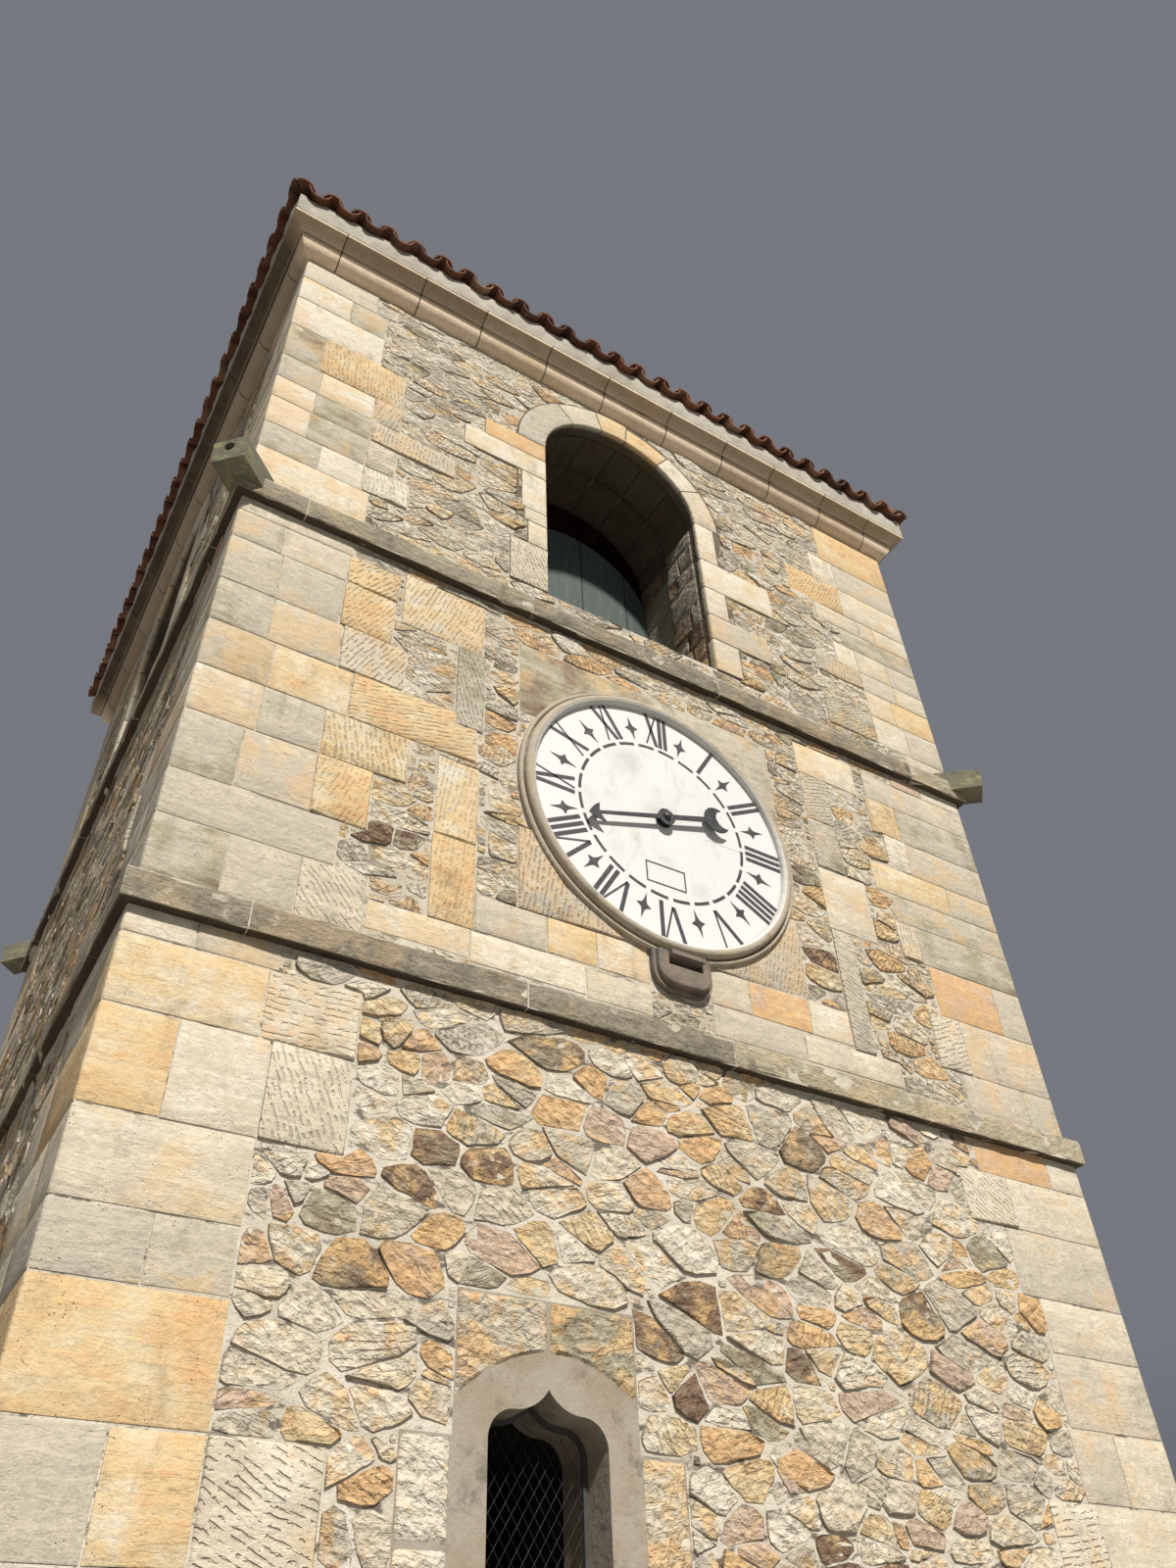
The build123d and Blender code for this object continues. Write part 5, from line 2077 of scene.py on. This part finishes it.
@dataclass(frozen=True)
class Roof:
    """Barrel tiles on the four slopes, hip tiles, and mortar between the eave tiles.

    Attributes:
        eave: distance of the eave from the axis.
        foot: height of the slopes' underside at the eave.
        pitch: in degrees.
        spacing: distance between tile rows across a slope.
        exposed: length of each tile that shows.
    """

    eave: float = 3.290
    foot: float = 11.570
    pitch: float = 18.0
    spacing: float = 0.2475
    exposed: float = 0.39

    def build(self, clay: Material, mortar: Material) -> None:
        """Builds the tiles of every slope, the hips and the eave mortar.

        Args:
            clay: finish of the tiles.
            mortar: finish of the eave mortar.
        """
        rng = np.random.default_rng(11)
        for side in Side:
            tiles = Shell(f"roof_{side.name.lower()}_tiles")
            self._slope(Site(tiles, side.face(0.0), rng))
            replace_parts(tiles.make(clay, "roof_tile"), f"roof_{side.name.lower()}_slope")
        hips = Shell("roof_hip_tiles")
        for side in Side:
            self._hip(hips, side, rng)
        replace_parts(hips.make(clay, "roof_tile"), "roof_hips")
        bed = Shell("eave_mortar")
        for side in Side:
            self._bed(Site(bed, side.face(0.0), rng))
        bed.make(mortar, "mortar")
        cap = Shell("roof_cap")
        self._cap(cap)
        dull = MortarFinish("cap_mortar", (0.40, 0.35, 0.28), (0.27, 0.22, 0.17), 0.4, (0.0, -1.0))
        cap.make(dull.make(), "mortar")

    def _rows(self) -> tuple[int, float]:
        """How many rows of channels a slope has, and the place of the first."""
        columns = int(2 * self.eave / self.spacing)
        return columns, -0.5 * (columns - 1) * self.spacing

    def _point(self, plane: Plane, u: Array, run: Array, rise: Array) -> Array:
        """A place on a slope: u across, run up the slope from the eave, rise square to it.

        Args:
            plane: the slope's directions, with its origin on the axis.
            u: places across.
            run: distances up the slope.
            rise: heights over the slope's underside.

        Returns:
            Points; past a hip u is brought back to it, and past the apex run is.
        """
        lean = math.radians(self.pitch)
        run = np.minimum(run, self.eave / math.cos(lean))
        out = self.eave - run * math.cos(lean) + rise * math.sin(lean)
        height = self.foot + run * math.sin(lean) + rise * math.cos(lean)
        limit = np.maximum(out, 0.0)
        u, out, height = np.broadcast_arrays(np.clip(u, -limit, limit), out, height)
        return plane.at(u, height, out)

    def _tile(self, site: Site, kind: Barrel, u: float, run: float, tone: float) -> None:
        """One barrel tile: an arc that narrows along the tile, with its thickness at the lower end.

        Args:
            site: where it is laid.
            kind: its shape.
            u: its middle across the slope.
            run: its lower end.
            tone: its colour.
        """
        turn = np.radians(np.linspace(4.0, 176.0, 9))
        for shares, thin, flip in SKINS:
            share = np.array(shares)[:, None]
            r = kind.lower + (kind.upper - kind.lower) * share - 0.014 * np.array(thin)[:, None]
            rise = kind.rise + kind.tilt * share + kind.way * r * np.sin(turn) * FLAT
            place = run + kind.back + 0.47 * share
            points = self._point(site.plane, u - kind.way * r * np.cos(turn), place, rise)
            site.shell.add(points, [quads(len(share), 9, flip=flip)], tone=tone)

    def _slope(self, site: Site) -> None:
        """Rows of channels and covers from the eave to the hips, over a thin deck.

        Args:
            site: where they are laid.
        """
        rng = site.rng
        lean = math.cos(math.radians(self.pitch))
        ends = np.array([[0.10], [(self.eave - 0.02) / lean]])
        deck = self._point(site.plane, np.array([[-4.0, 4.0]]), ends, np.array([[0.03]]))
        site.shell.add(deck, [quads(2, 2)], tone=0.2)
        columns, start = self._rows()
        for k in range(columns + 1):
            for kind, shift in ((CHANNEL, 0.0), (COVER, 0.5)):
                if kind is CHANNEL and k == columns:
                    continue
                u = start + (k - shift) * self.spacing
                room = (self.eave - abs(u) + 0.14) / lean
                wander = rng.normal(0, 0.006)
                for n in range(int(room / self.exposed) + 1):
                    run = n * self.exposed + rng.normal(0, 0.006)
                    run = run if n else max(run, 0.002)
                    shake = wander + rng.normal(0, 0.004)
                    tone = float(np.clip(rng.normal(0.45, 0.28), 0, 1))
                    self._tile(site, kind, u + shake, run, tone)

    def _hip(self, shell: Shell, side: Side, rng: Random) -> None:
        """Cover tiles along the hip at a side's left corner, each over the one below.

        Args:
            shell: where the points go.
            side: the side whose left corner it is.
            rng: seeded randomness.
        """
        turn = 3 * math.pi / 4 + side.value * math.pi / 2 + math.pi / 2
        out = np.array([math.cos(turn), math.sin(turn), 0.0])
        lean = math.atan(math.tan(math.radians(self.pitch)) / math.sqrt(2))
        along = -out * math.cos(lean) + np.array([0, 0, math.sin(lean)])
        across = np.cross(along, [0.0, 0.0, 1.0])
        across /= np.linalg.norm(across)
        up = np.cross(across, along)
        base = out * self.eave * math.sqrt(2) + np.array([0, 0, self.foot + 0.138 - 0.055])
        total = self.eave * math.sqrt(2) / math.cos(lean) - 0.62
        count = int(total / 0.36)
        angle = np.radians(np.linspace(-8.0, 188.0, 13))
        for n in range(count + 1):
            run = n * total / count + 0.10
            shake = across * rng.normal(0, 0.004)
            tone = float(np.clip(rng.normal(0.45, 0.25), 0, 1))
            for shares, thin, flip in SKINS:
                share = np.array(shares)[:, None]
                r = 0.100 - 0.020 * share - 0.015 * np.array(thin)[:, None]
                place, aside = run + 0.44 * share, r * np.cos(angle)
                rise = 0.018 - 0.018 * share + r * np.sin(angle)
                spot = base + along * place[..., None] + across * aside[..., None] + up * rise[..., None]
                spot = spot if flip else spot + shake
                shell.add(spot, [quads(len(share), 13, flip=flip)], tone=tone)

    def _cap(self, shell: Shell) -> None:
        """A low mortar dome where the hips meet: radius and height follow a quarter circle.

        Args:
            shell: where the points go.
        """
        turn = np.linspace(0.0, 2 * math.pi, 24, endpoint=False)
        share = np.radians(np.array([-20.0, 10.0, 35.0, 60.0, 80.0, 90.0]))[:, None]
        apex = self.foot + self.eave * math.tan(math.radians(self.pitch)) + 0.06
        radius = 0.31 * np.cos(share) * (1 + 0.04 * np.sin(3 * turn + 1.0))
        points = np.stack([radius * np.cos(turn), radius * np.sin(turn),
                           apex + 0.03 + 0.11 * np.sin(share) + 0 * turn], -1)
        shell.add(points, [quads(6, 24, ring=True)], tone=0.5)

    def _bed(self, site: Site) -> None:
        """Billowing mortar face: it rises between the channels and sinks under their bellies.

        Args:
            site: where it is laid.
        """
        foot, reach, count = 11.371, 0.222, 420
        u = np.linspace(-BELFRY_HALF - reach, BELFRY_HALF + reach, count)
        off = (u - self._rows()[1]) / self.spacing
        off = (off - np.round(off)) * self.spacing
        belly = np.sqrt(np.maximum(CHANNEL.lower**2 - off**2, 0.0))
        waves = zip((5.0, 11.0, 23.0), site.rng.uniform(0, 6, 3))
        wobble = sum(np.sin(u * f + p) for f, p in waves) * 0.003
        head = np.minimum(self.foot + 0.030 + CHANNEL.rise - FLAT * belly, self.foot + 0.085) + wobble
        share = np.array([0.0, 0.25, 0.6, 0.88, 1.0])[:, None]
        bulge = np.array([0.003, 0.010, 0.014, 0.004, -0.05])[:, None] * (1 - 0.35 * belly)
        z = foot + (head - foot) * share
        w = reach + bulge + (0.006 * np.sin(u * 17.0) + 0.004 * np.sin(u * 41.0)) * share * (1 - share) * 4
        limit = BELFRY_HALF + w
        site.shell.add(site.plane.at(np.clip(u, -limit, limit), z, limit), [quads(5, count)], tone=0.5)


# Dial


@dataclass(frozen=True)
class Dial:
    """Painted marks of the dial, as thin raised prisms on its white face.

    Attributes:
        face: distance of the white face from the tower's axis.
    """

    face: float = 3.038

    def build(self, paint: Material) -> None:
        """Builds the numerals, the ring of dashes, the stars and the plain frame.

        Args:
            paint: their finish.
        """
        shell = Shell("dial_marks")
        numerals = ("XII", "I", "II", "III", "IIII", "V", "VI", "VII", "VIII", "IX", "X", "XI")
        for hour, letters in enumerate(numerals):
            for stroke in self._strokes(letters):
                self._prism(shell, self._swing(stroke, math.radians(hour * 30 + 1.0)))
            self._prism(shell, self._swing(self._star(), math.radians(hour * 30 + 15.5)))
        for k in range(24):
            for part in range(3):
                a = np.radians(k * 15 + 1.75 + part * 11.5 / 3 + np.array([0.0, 11.5 / 3]))
                corners = ((0.626, a[0]), (0.626, a[1]), (0.605, a[1]), (0.605, a[0]))
                self._prism(shell, np.array([(r * math.sin(t), r * math.cos(t)) for r, t in corners]))
        for x0, x1, z0, z1 in ((-0.145, 0.145, -0.078, -0.069), (-0.145, 0.145, 0.069, 0.078),
                               (-0.145, -0.136, -0.069, 0.069), (0.136, 0.145, -0.069, 0.069)):
            box = np.array([(x0, z0), (x1, z0), (x1, z1), (x0, z1)]) + np.array([-0.018, -0.45])
            self._prism(shell, box)
        shell.make(paint, "dark_iron")

    @staticmethod
    def _strokes(letters: str) -> list[Array]:
        """Strokes of one numeral as outlines (across, outwards), its letters set side by side.

        A stroke leans from (x0, foot) to (x1, head) and keeps its width level with the rim.

        Args:
            letters: the numeral.

        Returns:
            Outlines, anticlockwise.
        """
        foot, head, thick, thin = 0.650, 0.930, 0.029, 0.013
        advance = {"I": 0.049, "V": 0.125, "X": 0.098}
        if letters == "XII":
            advance["I"] = 0.041
        total = sum(advance[c] for c in letters)
        at = -total / 2
        found = []

        def stroke(x0: float, x1: float, low: float, width: float) -> None:
            """Adds one leaning stroke."""
            found.append(np.array([(x0 - width / 2, low), (x0 + width / 2, low), (x1 + width / 2, head),
                                   (x1 - width / 2, head)]))

        for letter in letters:
            mid = at + advance[letter] / 2
            if letter == "I":
                stroke(mid, mid, foot, thick)
            elif letter == "V":
                stroke(mid, mid - 0.072, 0.672, thick)
                stroke(mid + 0.004, mid + 0.070, 0.672, thin)
            else:
                stroke(mid + 0.038, mid - 0.038, foot, thick)
                stroke(mid - 0.040, mid + 0.040, foot, thin)
            at += advance[letter]
        return found

    @staticmethod
    def _star() -> Array:
        """A four pointed star with hollow sides, long along the radius.

        Returns:
            Its outline, anticlockwise.
        """
        quarter = np.array([(0.000, 0.100), (0.010, 0.042), (0.019, 0.019), (0.052, 0.0)])
        right = np.concatenate([quarter, (quarter * (1, -1))[-2::-1]])
        whole = np.concatenate([right, (right * (-1, 1))[-2:0:-1]])
        return (whole + (0.0, 0.755))[::-1]

    @staticmethod
    def _swing(outline: Array, angle: float) -> Array:
        """Turns an outline (across, outwards) clockwise by an angle about the dial's middle."""
        c, s = math.cos(angle), math.sin(angle)
        return np.stack([outline[:, 0] * c + outline[:, 1] * s, outline[:, 1] * c - outline[:, 0] * s], -1)

    def _prism(self, shell: Shell, outline: Array) -> None:
        """Raises an outline 2 mm off the white face: a fan on top and a wall round it.

        Args:
            shell: where the points go.
            outline: points (across, up), anticlockwise.
        """
        n = len(outline)
        ring = np.concatenate([outline, outline, outline.mean(0, keepdims=True)])
        w = np.concatenate([np.full(n, -0.001), np.full(n + 1, 0.002)])
        points = Side.FRONT.face(self.face).at(ring[:, 0] + DIAL_X, ring[:, 1] + DIAL_Z, w)
        j = np.arange(n)
        fan = np.stack([j + n, (j + 1) % n + n, np.full(n, 2 * n)], -1)
        shell.add(points, [quads(2, n, ring=True), fan], tone=0.5)


# Light, camera and assembly


def dress_solids(finishes: dict[str, Material]) -> None:
    """Gives every CAD node its own finish.

    Args:
        finishes: materials by the end or the start of the node's name.
    """
    for name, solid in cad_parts.items():
        key = next((k for k in finishes if name.endswith(k)), None) or next(
            (k for k in finishes if name.startswith(k)), None)
        if key is None:
            raise ValueError(f"no finish for {name}")
        solid.data.materials.clear()
        solid.data.materials.append(finishes[key])
        log.info("%s: finish %s", name, finishes[key].name)


# Width of the floor in metres
FLOOR_SIZE = 110.0

# Where the light comes from
KEY_FROM = (-0.15, -1.0, 1.14)

# The camera's place and its directions, from the fit to the picture
LENS_AT = (-3.562, -7.617, 1.6)
LENS_RIGHT = (0.85520671, -0.5171545, -0.03424482)
LENS_DOWN = (0.32348503, 0.5842281, -0.74433525)
LENS_AHEAD = (0.40494311, 0.62548281, 0.66692753)


def light_and_camera() -> None:
    """Pale floor, one soft key light, a fill that is dim below the horizon and the picture's camera."""
    bpy.ops.mesh.primitive_plane_add(size=FLOOR_SIZE, location=(0.0, 0.0, 0.0))
    floor = bpy.context.object
    floor.name = "floor"
    g = Graph("floor_pale")
    soft = g.noise(g.place(), 0.6, 3.0)
    floor.data.materials.append(g.finish(g.mix((0.262, 0.250, 0.230), (0.290, 0.278, 0.256), soft), 0.9))
    sun = bpy.data.lights.new("key", "SUN")
    sun.energy = 5.8
    sun.angle = math.radians(3.0)
    sun.color = (1.0, 0.955, 0.88)
    key = bpy.data.objects.new("key", sun)
    key.rotation_mode = "QUATERNION"
    key.rotation_quaternion = Vector(KEY_FROM).to_track_quat("Z", "Y")
    bpy.context.scene.collection.objects.link(key)
    world = bpy.context.scene.world or bpy.data.worlds.new("studio")
    bpy.context.scene.world = world
    world.use_nodes = True
    back = world.node_tree.nodes.get("Background") or world.node_tree.nodes.new("ShaderNodeBackground")
    tree = world.node_tree
    way = tree.nodes.new("ShaderNodeTexCoord")
    parts = tree.nodes.new("ShaderNodeSeparateXYZ")
    level = tree.nodes.new("ShaderNodeValToRGB")
    level.color_ramp.elements[0].position = 0.0
    level.color_ramp.elements[0].color = (0.070, 0.075, 0.085, 1.0)
    level.color_ramp.elements[1].position = 0.25
    level.color_ramp.elements[1].color = (0.180, 0.190, 0.212, 1.0)
    tree.links.new(way.outputs["Generated"], parts.inputs[0])
    tree.links.new(parts.outputs[2], level.inputs[0])
    tree.links.new(level.outputs[0], back.inputs["Color"])
    back.inputs["Strength"].default_value = 1.0
    bpy.context.scene.view_settings.view_transform = "Standard"
    lens = bpy.data.cameras.new("camera")
    lens.sensor_width = 36.0
    lens.lens = 27.135
    lens.clip_end = 500.0
    camera = bpy.data.objects.new("camera", lens)
    turn = Matrix((LENS_RIGHT, -Vector(LENS_DOWN), -Vector(LENS_AHEAD))).transposed().to_4x4()
    camera.matrix_world = Matrix.Translation(LENS_AT) @ turn
    bpy.context.scene.collection.objects.link(camera)
    bpy.context.scene.camera = camera


def solid_finishes(clay: Material, bed: Material) -> dict[str, Material]:
    """Finishes of the CAD nodes, by the end or the start of a node's name.

    Args:
        clay: finish of the roof tiles.
        bed: mortar under the tiles.

    Returns:
        The materials; a longer name comes before a shorter one that it starts with.
    """
    wall = MortarFinish("wall_mortar", (0.58, 0.53, 0.44), (0.44, 0.39, 0.31), 0.5).make()
    base = MortarFinish("base_mortar", (0.62, 0.575, 0.49), (0.48, 0.435, 0.355), 0.8, (2.92, 2.70)).make()
    iron = IronFinish("hand_iron").make()
    own = {
        "cornice": MortarFinish("joint_mortar", (0.12, 0.09, 0.065), (0.06, 0.045, 0.032), 0.4),
        # Window stone: its own grey-brown, partly darkened as painted shade.
        "window_surround": PlainStoneFinish("window_stone", (0.33, 0.295, 0.245), (0.30, 0.245, 0.185),
                                            0.05, 0.7),
        "door_surround": PlainStoneFinish("door_stone", (0.50, 0.42, 0.31), (0.46, 0.34, 0.21), 0.08, 0.3),
        "ground_floor": PlainStoneFinish("floor_stone", (0.38, 0.35, 0.30), (0.34, 0.29, 0.23), 0.05, 0.3),
        "belfry_floor": BoardFinish("floor_boards", (0.24, 0.17, 0.11), (0.36, 0.29, 0.21), 0.2, level=True),
        "screen": BoardFinish("screen_boards", (0.062, 0.088, 0.082), (0.110, 0.140, 0.126), 0.45, 0.11),
        "door_leaf": BoardFinish("door_boards", (0.085, 0.055, 0.035), (0.17, 0.12, 0.08), 0.16, 0.02),
        # Arch mortar: a darker copy of the wall mortar, painted shade for the vault, darker still deeper in.
        "arch": MortarFinish("arch_mortar", (0.20, 0.16, 0.115), (0.11, 0.085, 0.06), 0.5, (2.97, 2.85)),
        "gargoyles": PlainStoneFinish("spout_stone", (0.155, 0.150, 0.110), (0.19, 0.175, 0.115), 0.45, 0.9),
        "dial_ring": PlainStoneFinish("ring_stone", (0.40, 0.355, 0.285), (0.42, 0.34, 0.26), 0.3, 0.4,
                                      0.955),
        "drain": PlainStoneFinish("drain_stone", (0.15, 0.138, 0.122), (0.22, 0.165, 0.13), 0.05, 0.8),
        "dial_plate": EnamelFinish(),
        "window_grille": IronFinish("grille_steel", (0.060, 0.058, 0.055), 0.35, 0.5),
    }
    return {
        "lower_string": wall, "eave_bed": bed, "roof_hips": clay, "slope": clay, "arbor_bush": iron,
        **{key: finish.make() for key, finish in own.items()},
        "upper_string": wall, "lower": base, "middle": wall, "belfry": wall, "hand": iron,
    }


def build_walls() -> None:
    """Builds the stones of the three stages, the belfry openings and the low window."""
    stone = StoneFinish("rubble_stone", variety=0.44, stain=0.95, patches=7.0).make()
    layered = StoneFinish("layered_stone", variety=0.55, lumps=0.031, cracks=0.85, rim=0.66, strokes=0.011,
                          stain=0.85, patches=5.0).make()
    dressed = StoneFinish("dressed_stone", variety=0.46, grain=0.0014, lumps=0.006, chips=0.1, cracks=0.14,
                          bedding=0.12, rim=0.85, strokes=0.0078, stain=0.60, soot=0.60).make()
    openings = [FRONT_OPENING] + [plain_opening(side, np.random.default_rng(60 + side.value))
                                  for side in (Side.RIGHT, Side.BACK, Side.LEFT)]
    Stage("belfry", BELFRY_HALF, UPPER_STRING_TOP, CORNICE_FOOT, dressed, layered, Rubble(), BELFRY_LEFT,
          BELFRY_RIGHT, openings={o.side: o.keeps() for o in openings},
          lifts={o.side: o.lift() for o in openings}, seed=21).build()
    for opening in openings:
        opening.build(dressed, stone)
    ring = Keep(DIAL_X, DIAL_X, DIAL_Z, DIAL_Z, 1.040)
    drain = Keep(-0.225, 0.195, 5.13, 5.42)
    fine = Rubble(codes="mggbbbcccwwwwwwoorrrd")
    Stage("middle", MIDDLE_HALF, LOWER_STRING_TOP, UPPER_STRING_FOOT, dressed, layered, fine, MIDDLE_LEFT,
          MIDDLE_RIGHT, MIDDLE_BLOCKS, {Side.FRONT: [ring, drain]}, seed=22).build()
    window = [Keep(-1.572, -0.252, 1.755, 2.80), Keep(-1.349, -0.475, 2.79, 3.357)]
    door = [Keep(-0.765, 0.765, 0.0, 2.58)]
    coarse = Rubble((0.27, 0.165), 0.006, (0.003, 0.017), 0.95, 0.10, 0.46, "gbbbccccwwwwwooorrpd", 0.15,
                    shake=0.04, lean=0.10)
    Stage("lower", LOWER_HALF, 0.0, LOWER_STRING_FOOT, dressed, stone, coarse, LOWER_LEFT, LOWER_RIGHT,
          openings={Side.FRONT: window, Side.BACK: door}, seed=23).build()
    # The mesh wire's near-black paint is partly painted shade.
    WindowStones().build(stone, IronFinish("mesh_wire", (0.016, 0.015, 0.014), 0.15, 0.6).make())


def build_courses() -> None:
    """Builds the stones of the two string courses and of the cornice."""
    course = StoneFinish("course_stone", COURSE_STOPS, variety=0.40, grain=0.003, lumps=0.015, chips=0.3,
                         cracks=0.25, bedding=0.1, rim=0.9, soot=1.25, lichen=0.35, stain=0.3).make()
    moulded = StoneFinish("moulded_stone", MOULDED_STOPS, variety=0.2, grain=0.0008, lumps=0.002, chips=0.0,
                          cracks=0.05, bedding=0.1, rim=0.9, soot=0.12, lichen=0.0, stain=0.35).make()
    lower = string_profile(0.060, LOWER_STRING_FOOT, LOWER_STRING_TOP)
    upper = string_profile(0.066, UPPER_STRING_FOOT, UPPER_STRING_TOP)
    Moulding("lower_string_stones", MIDDLE_HALF, lower, (0.9, 1.6), 0.0028, "gbcbg",
             seed=31).build(course, "string_stone")
    Moulding("upper_string_stones", BELFRY_HALF, upper, (1.1, 1.9), 0.0030, "gbggb",
             seed=32).build(course, "string_stone")
    # The under values here and the per-side tuple below are painted shade.
    cornice = (("roll", cornice_roll_profile(), 0.08), ("crown", cornice_crown_profile(), 0.55))
    for name, profile, under in cornice:
        Moulding(f"cornice_{name}_stones", BELFRY_HALF, profile, (0.5, 0.7), 0.0004, "cccbc", 0.003, 33,
                 under, (0.0, 0.10, 0.35, 0.50)).build(moulded, "cornice_stone")


def main() -> None:
    """Builds the tower's pieces in order."""
    logging.basicConfig(level=logging.INFO, format="%(message)s")
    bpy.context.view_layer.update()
    light_and_camera()
    clay = TileFinish().make()
    bed = MortarFinish("bed_mortar", (0.47, 0.44, 0.38), (0.35, 0.32, 0.265), 0.15).make()
    dress_solids(solid_finishes(clay, bed))
    build_walls()
    build_courses()
    Roof().build(clay, bed)
    Dial().build(IronFinish("mark_paint", (0.040, 0.040, 0.043), 0.05, 0.6).make())


if __name__ == "__main__":
    main()
